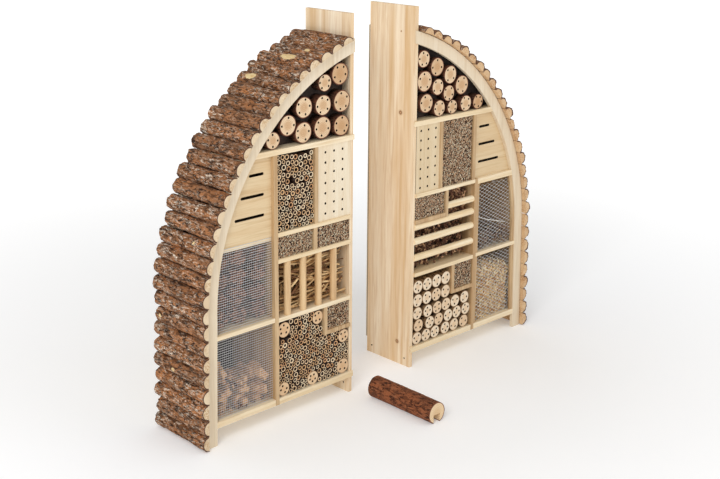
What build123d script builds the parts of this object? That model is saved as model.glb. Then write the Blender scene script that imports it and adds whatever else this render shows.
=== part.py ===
from build123d import *
import math
import os
import random

import numpy as np

# A large insect hotel of two mirrored halves. Each half is a tall spine board with half a
# pointed arch beside it, filled with nesting material. Closed, the two spine boards stand back
# to back and a grooved ridge log caps them. Here the halves stand apart, in line, and the log
# lies on the ground in front of the gap.
#
# A half is drawn in its own frame: X runs outwards from the joining face, Y runs back from the
# front plane of the shelves, and Z is up. The left half is the mirror image. All sizes in mm.

# ---- spine board ----
SPINE_HEIGHT = 900.0
SPINE_DEPTH = 150.0
SPINE_BOARD = 10.0
SPINE_SETBACK = 4.5        # front members lap over the spine's front edge by this much
JOIN_HOLE_R = 2.25         # two holes at the foot, for screws that hold the halves together
JOIN_HOLE_INSET = 17.5     # from each long edge of the spine board
JOIN_HOLE_HEIGHT = 20.0

# ---- arch ----
ARCH_REACH = 424.0         # joining face to the outside of the arch leg
ARCH_BAND = 29.0
ARCH_PLY = 9.0
ARCH_PEAK_DROP = 56.0      # from the spine's top to the peak of the arch at the joining face
ARCH_CENTRE = 150.0        # the curve's centre lies this far past the joining face
LEG_SPLAY = 7.0            # the leg's foot stands this much further out than its top
BACK_PLY = 4.5

# ---- bark slabs over the arch ----
SLAB_COUNT = 29
SLAB_THICKNESS = 18.0
SLAB_OVERHANG = 13.0       # in front of the arch
SLAB_REAR_OVERHANG = 8.0   # behind the back panel
SLAB_GAP = 1.2             # between neighbours, along the arch

# ---- shelves ----
BASE_HEIGHT = 40.0         # clear height under the base shelves
BASE_BOARD = 14.0
CROWN_TOP = 627.0
CROWN_BOARD = 12.0
CELL_BOARD = 9.5
DIVIDER_AT = 227.0         # inner face of the main divider
DIVIDER_BOARD = 11.0
MESH_SHELF_TOP = 248.0

# ---- left half's cells ----
LEFT_UPPER_TOP = 441.0
LEFT_MIDDLE_TOP = 381.0
LEFT_LOWER_TOP = 245.0
TUBE_DIVIDER_AT = 110.0
REED_DIVIDER_AT = 113.0
LEFT_CORNER_WALL_AT = 82.0
LEFT_CORNER_TOP = 177.5
LEFT_SLOT_SHELF_TOP = 434.0

# ---- right half's cells ----
RIGHT_UPPER_TOP = 447.0
RIGHT_LOWER_TOP = 246.0
BLOCK_DIVIDER_AT = 92.5
RIGHT_UPPER_DIVIDER_AT = 214.5    # beside the tall reed cell, further in than the main divider
REED_CELL_WALL_AT = 117.0
REED_CELL_TOP = 381.0
RIGHT_CORNER_WALL_AT = 147.5
RIGHT_CORNER_TOP = 169.0
RIGHT_SLOT_BOARD = 14.0
BATTEN_WIDTH = 10.0
BATTEN_THICKNESS = 6.0

# ---- drilled blocks and slotted panels ----
BLOCK_DEPTH = 100.0
BLOCK_HOLE_R = 3.0
BLOCK_HOLE_DEPTH = 80.0
BLOCK_HOLE_PITCH_U = 26.0
BLOCK_HOLE_PITCH_Z = 23.5
BLOCK_COLUMNS = 3
BLOCK_ROWS = 7
PANEL_BOARD = 10.0
SLOT_HEIGHT = 6.5
SLOT_START = 20.0          # from the main divider to the first end of each slot
SLOT_PITCH = 45.5
SLOT_TOP_DROP = 36.0       # from the underside of the crown shelf to the top slot
SLOT_END_MARGINS = (14.0, 16.5, 19.7)     # from each slot's outer end to the arch's inner edge

# ---- nesting material ----
FILL_FRONT = 3.0           # how far the tubes and reeds stand back from the front plane
FILL_REAR_GAP = 4.5
TUBE_R_MIN = 4.9
TUBE_R_MAX = 7.2
TUBE_BORE = 0.52           # bore over outside diameter
TUBE_BORE_DEPTH = 90.0
TUBE_FILL = 0.72           # share of the cell's front that the tubes cover
FIT_GAP = 0.3              # least gap left between neighbouring round pieces
SLICE_FRONT = 5.0
SLICE_HOLE_R = 2.7
SLICE_HOLE_SHARE = 0.7     # depth of a slice's holes, as a share of its length
HOLE_STRAY = 14.0          # degrees a hole may stray from even spacing
CROWN_HOLES = (4, 5, 5)          # holes in a slice, drawn at random from these
LEFT_LOWER_HOLES = (4, 5)
RIGHT_LOWER_HOLES = (3, 3, 4)
CROWN_HOLE_REACH = (0.66, 0.74)  # from the slice's centre, as a share of its radius
LOWER_HOLE_REACH = (0.5, 0.62)
LOWER_SLICE_LENGTH = 118.0
CROWN_SLICE_LENGTH = 26.0
LINER_BOARD = 4.0
DOWEL_R = 8.0
DOWEL_FRONT = 0.5
DOWEL_COUNT = 4
DOWEL_PITCH = 46.0
DOWEL_INSET = 32.0         # from the main divider to the nearest dowel's axis
BAR_R = 8.5
BAR_HEIGHTS = (362.0, 325.0, 283.0)
SHORT_BAR_HEIGHT = 395.0
STACK_FRONT = 40.0         # twigs and bark chips stand behind the dowels and bars
STACK_HEADROOM = 8.0
MESH_SHEET = 1.2
MESH_CLEARANCE = 1.0       # between the mesh and what lies behind it
CONE_R = 21.5
CONE_LENGTH = 58.0
CHUNK_LENGTH = 56.0
CHUNK_HEIGHTS = (34.0, 52.0)
CHUNK_COLUMNS = 3
CHUNK_WIDTHS = (0.8, 0.97)       # share of a column's width
CHUNK_GAP = 2.0
TWIG_PILE_HEIGHT = 48.0
STICK_R = 2.0
STICK_DEPTH = 20.0         # from the front plane to the stick's foot
STICK_LEG_GAP = 22.0
STICK_DIVIDER_GAP = 34.0
STICK_RISE = 40.0
STICK_SLANT = 24.0         # how much further back the stick's head is than its foot
STRAW_HEIGHT = 160.0

# ---- fixings ----
SCREW_R = 1.75
SCREW_HEAD_R = 4.0
SCREW_HEAD = 2.4
SCREW_LENGTH = 13.0
SCREW_LEG_HEIGHTS = (100.0, 250.0)
SCREW_ARCH_ANGLES = (16.0, 35.0, 54.0)
SCREW_SPINE_HEIGHTS = (150.0, 450.0, 750.0)

# ---- ridge log and the halves' places ----
LOG_R = 25.5
LOG_LENGTH = 195.0
LOG_GROOVE_CLEARANCE = 0.5     # each side of the two spine boards
LOG_GROOVE_DEPTH = 20.0
LOG_PLACE = 31.0               # from the left spine's centre to the log's axis
LOG_REAR_END = 38.0            # in front of the bark slabs
HALF_GAP = 198.5               # between the two joining faces

# ---- sizes that follow ----
REAR = SPINE_SETBACK + SPINE_DEPTH
BACK_FACE = REAR + BACK_PLY
OUTER_R = ARCH_REACH + ARCH_CENTRE
INNER_R = OUTER_R - ARCH_BAND
LEG_INNER = ARCH_REACH - ARCH_BAND
# The height where the straight leg turns into the curve.
ARCH_SPRING = SPINE_HEIGHT - ARCH_PEAK_DROP - math.sqrt(OUTER_R**2 - ARCH_CENTRE**2)
SLAB_LENGTH = SLAB_OVERHANG + BACK_FACE + SLAB_REAR_OVERHANG
BASE_TOP = BASE_HEIGHT + BASE_BOARD
CROWN_UNDER = CROWN_TOP - CROWN_BOARD
DIVIDER_OUTER = DIVIDER_AT + DIVIDER_BOARD
FILL_REAR = REAR - FILL_REAR_GAP


# ---------------------------------------------------------------- drawing helpers

def block(u0, u1, v0, v1, z0, z1):
    """A box between two corners of the half's frame."""
    middle = Pos((u0 + u1) / 2, (v0 + v1) / 2, (z0 + z1) / 2)
    return middle * Box(u1 - u0, v1 - v0, z1 - z0)


def rod(u, z, v0, v1, radius):
    """A round bar that runs front to back."""
    return Pos(u, (v0 + v1) / 2, z) * Rot(90, 0, 0) * Cylinder(radius, v1 - v0)


def cross_bar(u0, u1, v, z, radius):
    """A round bar that runs across the half."""
    return Pos((u0 + u1) / 2, v, z) * Rot(0, 90, 0) * Cylinder(radius, u1 - u0)


def arch_region(radius, v0, v1):
    """Everything under the arch curve of this radius, from v0 to v1."""
    reach = radius - ARCH_CENTRE
    peak = ARCH_SPRING + math.sqrt(radius**2 - ARCH_CENTRE**2)
    half_angle = math.acos(ARCH_CENTRE / radius) / 2
    middle = (radius * math.cos(half_angle) - ARCH_CENTRE,
              ARCH_SPRING + radius * math.sin(half_angle))
    outline = Polyline((0, peak), (0, 0), (reach + LEG_SPLAY, 0), (reach, ARCH_SPRING))
    outline += ThreePointArc((reach, ARCH_SPRING), middle, (0, peak))
    face = Plane.XZ * make_face(outline)
    return Pos(0, v0, 0) * extrude(face, amount=v0 - v1)


def arch_point(radius, length):
    """The point and outward direction at this length along the arch, from the ground."""
    if length <= ARCH_SPRING:
        splay = LEG_SPLAY * (1 - length / ARCH_SPRING)
        lean = math.degrees(math.atan(LEG_SPLAY / ARCH_SPRING))
        return radius - ARCH_CENTRE + splay, length, lean
    angle = (length - ARCH_SPRING) / radius
    u = radius * math.cos(angle) - ARCH_CENTRE
    return u, ARCH_SPRING + radius * math.sin(angle), math.degrees(angle)


def arch_inner_at(z):
    """How far out the arch's inner edge is at this height on the curve."""
    return math.sqrt(INNER_R**2 - (z - ARCH_SPRING)**2) - ARCH_CENTRE


def settle(circles, keep_in, fixed=(), rounds=500):
    """Push circles (u, z, r) apart until they clear each other and their cell."""
    push_share = 0.45
    sink_step = 0.02
    least_r = 1.5
    movable = len(circles)
    every = np.array([list(c) for c in circles] + [list(c) for c in fixed], float)
    place = every[:, :2].copy()
    radius = every[:, 2].copy()
    for _ in range(rounds):
        away = place[:, None, :] - place[None, :, :]
        distance = np.sqrt((away**2).sum(axis=2)) + np.eye(len(every)) * 1e6 + 1e-9
        overlap = radius[:, None] + radius[None, :] + FIT_GAP - distance
        push = np.clip(overlap, 0, None)[:, :, None] * away / distance[:, :, None]
        place[:movable] += push_share * push.sum(axis=1)[:movable]
        place[:movable, 1] -= sink_step
        for i in range(movable):
            place[i] = keep_in(place[i][0], place[i][1], radius[i])
    for i in range(movable):
        for j in range(len(every)):
            if i != j:
                room = math.dist(place[i], place[j]) - radius[j] - FIT_GAP
                radius[i] = max(min(radius[i], room), min(least_r, radius[i]))
    return [(place[i][0], place[i][1], radius[i]) for i in range(movable)]


def cell_limits(u0, u1, z0, z1, corner=None):
    """Keeps a circle inside a rectangular cell and outside a boxed-off upper corner."""
    def keep_in(u, z, r):
        edge = r + FIT_GAP
        u = min(max(u, u0 + edge), u1 - edge)
        z = min(max(z, z0 + edge), z1 - edge)
        if corner:
            c0, c1, floor = corner
            inside = c0 - edge < u < c1 + edge and z > floor - edge
            if inside:
                gaps = {"down": z - (floor - edge)}
                if c0 > u0 + 1:
                    gaps["in"] = u - (c0 - edge)
                else:
                    gaps["out"] = (c1 + edge) - u
                way = min(gaps, key=gaps.get)
                if way == "down":
                    z = floor - edge
                elif way == "in":
                    u = c0 - edge
                else:
                    u = c1 + edge
        return u, z
    return keep_in


def crown_limits(u, z, r):
    """Keeps a circle inside the crown, under the arch curve and above its shelf."""
    edge = r + FIT_GAP
    from_centre = math.hypot(u + ARCH_CENTRE, z - ARCH_SPRING)
    most = INNER_R - edge
    if from_centre > most:
        u = (u + ARCH_CENTRE) * most / from_centre - ARCH_CENTRE
        z = (z - ARCH_SPRING) * most / from_centre + ARCH_SPRING
    return max(u, SPINE_BOARD + edge), max(z, CROWN_TOP + edge)


# ---------------------------------------------------------------- frame of one half

def screw_places():
    """Where the back panel's screws go: round the arch, and up the spine's rear edge."""
    places = []
    middle = OUTER_R - ARCH_BAND / 2
    for height in SCREW_LEG_HEIGHTS:
        places.append(arch_point(middle, height)[:2])
    for angle in SCREW_ARCH_ANGLES:
        turn = math.radians(angle)
        places.append((middle * math.cos(turn) - ARCH_CENTRE,
                       ARCH_SPRING + middle * math.sin(turn)))
    for height in SCREW_SPINE_HEIGHTS:
        places.append((SPINE_BOARD / 2, height))
    return places


def countersunk_screw(u, z):
    """One countersunk screw, its head flush with the back panel."""
    head_middle = BACK_FACE - SCREW_HEAD / 2
    head = Pos(u, head_middle, z) * Rot(90, 0, 0) * Cone(SCREW_HEAD_R, SCREW_R, SCREW_HEAD)
    shank = rod(u, z, BACK_FACE - SCREW_LENGTH, BACK_FACE - SCREW_HEAD, SCREW_R)
    return head + shank


def panel_screws():
    return [countersunk_screw(u, z) for u, z in screw_places()]


def drill_for_screws(piece):
    for screw in panel_screws():
        piece -= screw
    return piece


def spine_board():
    board = block(0, SPINE_BOARD, SPINE_SETBACK, REAR, 0, SPINE_HEIGHT)
    for v in (SPINE_SETBACK + JOIN_HOLE_INSET, REAR - JOIN_HOLE_INSET):
        board -= cross_bar(-1, SPINE_BOARD + 1, v, JOIN_HOLE_HEIGHT, JOIN_HOLE_R)
    return drill_for_screws(board)


def arch_plate(v0, v1):
    """The ply arch, cut to lap over the spine's front edge or to stop at its inner face."""
    plate = arch_region(OUTER_R, v0, v1) - arch_region(INNER_R, v0, v1)
    return plate - block(-1, SPINE_BOARD, max(v0, SPINE_SETBACK), REAR + 1, 0, SPINE_HEIGHT)


def front_arch():
    return arch_plate(0, ARCH_PLY)


def rear_arch():
    return drill_for_screws(arch_plate(REAR - ARCH_PLY, REAR))


def back_panel():
    panel = arch_region(OUTER_R, REAR, BACK_FACE)
    panel -= block(-1, OUTER_R, REAR - 1, BACK_FACE + 1, -1, BASE_HEIGHT)
    return drill_for_screws(panel)


def full_shelf(u0, top, thickness, laps=False):
    """A shelf that runs out to the bark slabs, notched round both arch plates."""
    shelf = block(u0, OUTER_R, 0, REAR, top - thickness, top) & arch_region(OUTER_R, 0, REAR)
    shelf = shelf - front_arch() - arch_plate(REAR - ARCH_PLY, REAR)
    if laps:
        shelf += block(0, u0, 0, SPINE_SETBACK, top - thickness, top)
    return shelf


def crown_shelf():
    return full_shelf(SPINE_BOARD, CROWN_TOP, CROWN_BOARD, laps=True)


def main_divider(top):
    return block(DIVIDER_AT, DIVIDER_OUTER, 0, REAR, BASE_HEIGHT, top)


def inner_base_shelf():
    board = block(SPINE_BOARD, DIVIDER_AT, 0, REAR, BASE_HEIGHT, BASE_TOP)
    return board + block(0, SPINE_BOARD, 0, SPINE_SETBACK, BASE_HEIGHT, BASE_TOP)


def outer_base_shelf():
    return full_shelf(DIVIDER_OUTER, BASE_TOP, BASE_BOARD)


def mesh_shelf():
    return full_shelf(DIVIDER_OUTER, MESH_SHELF_TOP, CELL_BOARD)


def cell_shelf(top):
    return block(SPINE_BOARD, DIVIDER_AT, 0, REAR, top - CELL_BOARD, top)


def cell_wall(u0, z0, z1):
    return block(u0, u0 + CELL_BOARD, 0, REAR, z0, z1)


def slot_shelf(top, thickness, front):
    """The floor of the chamber behind the slotted panel."""
    shelf = full_shelf(DIVIDER_OUTER, top, thickness)
    if front > 0:
        shelf -= block(0, OUTER_R, -1, front, top - thickness, top)
    return shelf


def slotted_panel(inner_edge, bottom):
    """The panel behind the arch plate, with three round-ended slots that widen downwards."""
    front = ARCH_PLY
    rear = ARCH_PLY + PANEL_BOARD
    panel = block(inner_edge, OUTER_R, front, rear, bottom, CROWN_UNDER)
    panel = panel & arch_region(OUTER_R, front, rear)
    for number, margin in enumerate(SLOT_END_MARGINS):
        z = CROWN_UNDER - SLOT_TOP_DROP - number * SLOT_PITCH
        length = arch_inner_at(z) - margin - DIVIDER_OUTER - SLOT_START
        u = inner_edge + SLOT_START + length / 2
        outline = Plane.XZ * SlotOverall(length, SLOT_HEIGHT)
        panel -= Pos(u, front - 1, z) * extrude(outline, amount=-PANEL_BOARD - 2)
    return panel


def bark_slabs():
    """Half-round slabs with their flat faces on the arch, laid from the ground to the spine."""
    curve = math.acos((ARCH_CENTRE + SPINE_BOARD) / OUTER_R)
    ground_gap = 1.0
    spine_gap = 3.0
    run = ARCH_SPRING + curve * OUTER_R - ground_gap - spine_gap
    pitch = run / SLAB_COUNT
    width = pitch - SLAB_GAP
    base = [(-width / 2, 0), (width / 2, 0)]
    outline = Line(*base) + ThreePointArc(base[1], (0, SLAB_THICKNESS), base[0])
    slab = extrude(Plane.XZ * make_face(outline), amount=-SLAB_LENGTH)
    slabs = []
    for number in range(SLAB_COUNT):
        u, z, turn = arch_point(OUTER_R, ground_gap + (number + 0.5) * pitch)
        slabs.append(Pos(u, -SLAB_OVERHANG, z) * Rot(0, 90 - turn, 0) * slab)
    return slabs


def crown_liner():
    """The dark board behind the crown's slices."""
    front = SLICE_FRONT + CROWN_SLICE_LENGTH
    liner = arch_region(OUTER_R, front, front + LINER_BOARD)
    liner -= block(-1, OUTER_R, 0, REAR, -1, CROWN_TOP)
    return liner - block(-1, SPINE_BOARD, 0, REAR, 0, SPINE_HEIGHT)


def mesh_panel(z0, z1):
    """One panel of wire mesh behind the arch leg, as a plain thin sheet."""
    sheet = block(DIVIDER_OUTER, OUTER_R, ARCH_PLY, ARCH_PLY + MESH_SHEET, z0, z1)
    return sheet & arch_region(OUTER_R, 0, REAR)


# ---------------------------------------------------------------- nesting material

def drilled_block(u0, u1, z0, z1):
    body = block(u0, u1, FILL_FRONT, FILL_FRONT + BLOCK_DEPTH, z0, z1)
    holes = GridLocations(BLOCK_HOLE_PITCH_U, BLOCK_HOLE_PITCH_Z, BLOCK_COLUMNS, BLOCK_ROWS)
    for place in holes:
        u = (u0 + u1) / 2 + place.position.X
        z = (z0 + z1) / 2 + place.position.Y
        body -= rod(u, z, FILL_FRONT - 1, FILL_FRONT + BLOCK_HOLE_DEPTH, BLOCK_HOLE_R)
    return body


def drilled_slices(circles, length, seed, counts, reaches):
    """Short lengths of branch, each with a ring of holes drilled in its front end."""
    chance = random.Random(seed)
    slices = []
    for u, z, radius in circles:
        piece = rod(u, z, SLICE_FRONT, SLICE_FRONT + length, radius)
        count = chance.choice(counts)
        start = chance.uniform(0, 360)
        for number in range(count):
            angle = math.radians(start + number * 360 / count + chance.uniform(-HOLE_STRAY, HOLE_STRAY))
            reach = radius * chance.uniform(*reaches)
            hole_u = u + reach * math.cos(angle)
            hole_z = z + reach * math.sin(angle)
            piece -= rod(hole_u, hole_z, SLICE_FRONT - 1, SLICE_FRONT + length * SLICE_HOLE_SHARE, SLICE_HOLE_R)
        slices.append(piece)
    return slices


def bamboo_bundle(u0, u1, z0, z1, seed, fixed=(), corner=None):
    """Bamboo tubes of mixed sizes, packed loosely into a cell."""
    chance = random.Random(seed)
    area = (u1 - u0) * (z1 - z0) - sum(math.pi * r * r for _, _, r in fixed)
    if corner:
        area -= (corner[1] - corner[0]) * (z1 - corner[2])
    middle_r = (TUBE_R_MIN + TUBE_R_MAX) / 2
    count = int(area * TUBE_FILL / (math.pi * middle_r**2))
    keep_in = cell_limits(u0, u1, z0, z1, corner)
    starts = []
    while len(starts) < count:
        radius = chance.uniform(TUBE_R_MIN, TUBE_R_MAX)
        u, z = keep_in(chance.uniform(u0, u1), chance.uniform(z0, z1), radius)
        if all(math.dist((u, z), place[:2]) > place[2] + radius + FIT_GAP for place in fixed):
            starts.append((u, z, radius))
    circles = settle(starts, keep_in, fixed)
    tubes = []
    for u, z, radius in circles:
        front = FILL_FRONT + chance.uniform(0, 2.5)
        tube = rod(u, z, front, FILL_REAR, radius)
        tube -= rod(u, z, front - 1, front + TUBE_BORE_DEPTH, radius * TUBE_BORE)
        tubes.append(tube)
    return tubes


def reed_bundle(u0, u1, z0, z1):
    """A cell packed tight with thin reeds, as one plain solid."""
    return block(u0, u1, FILL_FRONT, FILL_REAR, z0, z1)


def upright_dowels():
    height = LEFT_MIDDLE_TOP - CELL_BOARD - LEFT_LOWER_TOP
    middle_z = LEFT_LOWER_TOP + height / 2
    dowels = []
    for number in range(DOWEL_COUNT):
        u = DIVIDER_AT - DOWEL_INSET - number * DOWEL_PITCH
        dowels.append(Pos(u, DOWEL_FRONT + DOWEL_R, middle_z) * Cylinder(DOWEL_R, height))
    return dowels


def cross_bars():
    v = DOWEL_FRONT + BAR_R
    bars = [cross_bar(SPINE_BOARD, DIVIDER_AT, v, z, BAR_R) for z in BAR_HEIGHTS]
    bars.append(cross_bar(REED_CELL_WALL_AT + CELL_BOARD, DIVIDER_AT, v, SHORT_BAR_HEIGHT, BAR_R))
    return bars


def twig_stack():
    top = LEFT_MIDDLE_TOP - CELL_BOARD - STACK_HEADROOM
    return block(SPINE_BOARD, DIVIDER_AT, STACK_FRONT, FILL_REAR, LEFT_LOWER_TOP, top)


def bark_chip_stack():
    under_cell = REED_CELL_TOP - CELL_BOARD
    top = RIGHT_UPPER_TOP - CELL_BOARD - STACK_HEADROOM
    beside_cell = REED_CELL_WALL_AT + CELL_BOARD
    stack = block(SPINE_BOARD, DIVIDER_AT, STACK_FRONT, FILL_REAR, RIGHT_LOWER_TOP, under_cell)
    return stack + block(beside_cell, DIVIDER_AT, STACK_FRONT, FILL_REAR, RIGHT_LOWER_TOP, top)


def cone_solid():
    """The outer shape of one pine cone, its axis front to back."""
    return scale(Sphere(CONE_R), by=(1, CONE_LENGTH / 2 / CONE_R, 1))


def pine_cones(z0, z1):
    """Cones stacked behind the mesh, in two rows from front to back."""
    front = ARCH_PLY + MESH_SHEET
    decks = int((z1 - z0) // (2 * CONE_R + FIT_GAP))
    across = int((LEG_INNER - DIVIDER_OUTER) // (2 * CONE_R + FIT_GAP))
    pitch = (LEG_INNER - DIVIDER_OUTER) / across
    cone = cone_solid()
    cones = []
    for deck in range(decks):
        z = z0 + CONE_R + FIT_GAP + deck * (2 * CONE_R + FIT_GAP)
        for column in range(across):
            for row in range(2):
                u = DIVIDER_OUTER + (column + 0.5) * pitch
                v = front + FIT_GAP + (row + 0.5) * (CONE_LENGTH + FIT_GAP)
                cones.append(Pos(u, v, z) * cone)
    return cones


def wood_chunks(seed):
    """Rough chunks of split wood, stacked behind the lower mesh and lower towards the divider."""
    chance = random.Random(seed)
    front = ARCH_PLY + MESH_SHEET + MESH_CLEARANCE
    pitch = (LEG_INNER - DIVIDER_OUTER) / CHUNK_COLUMNS
    chunks = []
    for column in range(CHUNK_COLUMNS):
        for row in range(2):
            z = BASE_TOP
            for _ in range(1 + (column + 2) // 2):
                height = chance.uniform(*CHUNK_HEIGHTS)
                width = pitch * chance.uniform(*CHUNK_WIDTHS)
                u = DIVIDER_OUTER + column * pitch + chance.uniform(0, pitch - width)
                v = front + row * (CHUNK_LENGTH + CHUNK_GAP)
                chunks.append(block(u, u + width, v, v + CHUNK_LENGTH, z, z + height))
                z += height
    return chunks


def bay_pile(z0, height):
    """Loose fill on the floor of a mesh bay, as one plain solid."""
    front = ARCH_PLY + MESH_SHEET + MESH_CLEARANCE
    return block(DIVIDER_OUTER, LEG_INNER, front, REAR - ARCH_PLY, z0, z0 + height)


def peeled_stick():
    """A thin stick that stands on the twig pile by the leg and leans towards the divider."""
    pile_top = MESH_SHELF_TOP + TWIG_PILE_HEIGHT
    low = Vector(LEG_INNER - STICK_LEG_GAP, STICK_DEPTH, pile_top + STICK_R + 1)
    high = Vector(DIVIDER_OUTER + STICK_DIVIDER_GAP, STICK_DEPTH + STICK_SLANT, pile_top + STICK_RISE)
    along = high - low
    return Plane(origin=(low + high) / 2, z_dir=along) * Cylinder(STICK_R, along.length)


def mesh_battens():
    """Thin strips that hold the mesh's edges to the divider and the arch leg."""
    front = ARCH_PLY - BATTEN_THICKNESS
    strips = []
    bays = ((BASE_TOP, MESH_SHELF_TOP - CELL_BOARD),
            (MESH_SHELF_TOP, RIGHT_UPPER_TOP - RIGHT_SLOT_BOARD))
    for z0, z1 in bays:
        inner = block(DIVIDER_OUTER, DIVIDER_OUTER + BATTEN_WIDTH, front, ARCH_PLY, z0, z1)
        strips.append(inner)
        reach = arch_region(INNER_R, front, ARCH_PLY) - arch_region(
            INNER_R - BATTEN_WIDTH, front, ARCH_PLY)
        outer = reach & block(DIVIDER_OUTER, OUTER_R, front, ARCH_PLY, z0, z1)
        strips.append(outer)
    return strips


# ---------------------------------------------------------------- the two halves

# Slices as they are laid in, each (out from the joining face, height, radius).
LEFT_CROWN = ((41, 773, 25), (86, 758, 19.5), (35, 711, 25), (91, 709, 23.5), (147, 711, 24),
              (193, 678, 23.5), (149, 656, 24), (93, 659, 25.5), (36, 656, 24), (236, 648, 19.5))
RIGHT_CROWN = ((31, 778, 21), (79, 754, 23), (127, 730, 22.5), (170, 700, 24), (36, 724, 25.5),
               (83, 705, 20.5), (123, 685, 20), (43, 670, 23.5), (90, 652, 20.5),
               (137, 648, 18), (187, 650, 20.5), (233, 648, 19))
LEFT_LOWER = ((208, 214, 18), (104, 217, 16), (27, 150, 16), (29, 75, 18.5), (123, 71, 16.5),
              (210, 71, 16))
RIGHT_LOWER_ROWS = (
    (214, 17.0, (27, 65, 102, 129)),
    (178, 17.0, (28, 66, 101, 128)),
    (140, 16.5, (28, 66, 101, 134, 168, 205)),
    (105, 16.5, (30, 71, 104, 140, 173, 210)),
    (71, 16.5, (27, 62, 95, 134, 168, 205)),
)


def frame_nodes(side, divider_top):
    return {
        f"{side}_spine_board": [spine_board()],
        f"{side}_front_arch": [front_arch()],
        f"{side}_rear_arch": [rear_arch()],
        f"{side}_back_panel": [back_panel()],
        f"{side}_panel_screws": panel_screws(),
        f"{side}_crown_shelf": [crown_shelf()],
        f"{side}_crown_liner": [crown_liner()],
        f"{side}_main_divider": [main_divider(divider_top)],
        f"{side}_inner_base_shelf": [inner_base_shelf()],
        f"{side}_outer_base_shelf": [outer_base_shelf()],
        f"{side}_mesh_shelf": [mesh_shelf()],
        f"{side}_bark_slabs": bark_slabs(),
    }


def left_half():
    nodes = frame_nodes("left", CROWN_UNDER)
    lower_under = LEFT_LOWER_TOP - CELL_BOARD
    upper_under = LEFT_UPPER_TOP - CELL_BOARD
    corner_out = LEFT_CORNER_WALL_AT + CELL_BOARD
    corner_under = LEFT_CORNER_TOP - CELL_BOARD
    tube_cell = TUBE_DIVIDER_AT + CELL_BOARD
    reed_cell = REED_DIVIDER_AT + CELL_BOARD
    mesh_under = MESH_SHELF_TOP - CELL_BOARD

    nodes["left_upper_shelf"] = [cell_shelf(LEFT_UPPER_TOP)]
    nodes["left_middle_shelf"] = [cell_shelf(LEFT_MIDDLE_TOP)]
    nodes["left_lower_shelf"] = [cell_shelf(LEFT_LOWER_TOP)]
    nodes["left_cell_dividers"] = [
        cell_wall(TUBE_DIVIDER_AT, LEFT_UPPER_TOP, CROWN_UNDER),
        cell_wall(REED_DIVIDER_AT, LEFT_MIDDLE_TOP, upper_under),
    ]
    nodes["left_corner_cell"] = [
        cell_wall(LEFT_CORNER_WALL_AT, corner_under, lower_under),
        block(SPINE_BOARD, LEFT_CORNER_WALL_AT, 0, REAR, corner_under, LEFT_CORNER_TOP),
    ]
    behind_mesh = ARCH_PLY + MESH_SHEET
    nodes["left_slot_shelf"] = [slot_shelf(LEFT_SLOT_SHELF_TOP, CELL_BOARD, behind_mesh)]
    nodes["left_slot_panel"] = [slotted_panel(DIVIDER_OUTER, LEFT_SLOT_SHELF_TOP)]
    nodes["left_wire_mesh"] = [mesh_panel(BASE_TOP, mesh_under),
                               mesh_panel(MESH_SHELF_TOP, LEFT_SLOT_SHELF_TOP)]
    nodes["left_drilled_block"] = [
        drilled_block(SPINE_BOARD, TUBE_DIVIDER_AT, LEFT_UPPER_TOP, CROWN_UNDER)]
    nodes["left_upper_bamboo"] = bamboo_bundle(
        tube_cell, DIVIDER_AT, LEFT_UPPER_TOP, CROWN_UNDER, seed=4)
    nodes["left_reeds"] = [
        reed_bundle(SPINE_BOARD, REED_DIVIDER_AT, LEFT_MIDDLE_TOP, upper_under),
        reed_bundle(reed_cell, DIVIDER_AT, LEFT_MIDDLE_TOP, upper_under),
        reed_bundle(SPINE_BOARD, LEFT_CORNER_WALL_AT, LEFT_CORNER_TOP, lower_under),
    ]
    nodes["left_dowels"] = upright_dowels()
    nodes["left_twig_stack"] = [twig_stack()]
    nodes["left_crown_slices"] = drilled_slices(
        settle(LEFT_CROWN, crown_limits, rounds=200), CROWN_SLICE_LENGTH, 7,
        CROWN_HOLES, CROWN_HOLE_REACH)
    corner = (SPINE_BOARD, corner_out, corner_under)
    bay = (SPINE_BOARD, DIVIDER_AT, BASE_TOP, lower_under)
    slices = settle(LEFT_LOWER, cell_limits(*bay, corner), rounds=100)
    nodes["left_lower_slices"] = drilled_slices(
        slices, LOWER_SLICE_LENGTH, 11, LEFT_LOWER_HOLES, LOWER_HOLE_REACH)
    nodes["left_lower_bamboo"] = bamboo_bundle(*bay, seed=15, fixed=slices, corner=corner)
    nodes["left_pine_cones"] = pine_cones(MESH_SHELF_TOP, LEFT_SLOT_SHELF_TOP - CELL_BOARD)
    nodes["left_wood_chunks"] = wood_chunks(seed=19)
    return nodes


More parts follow.
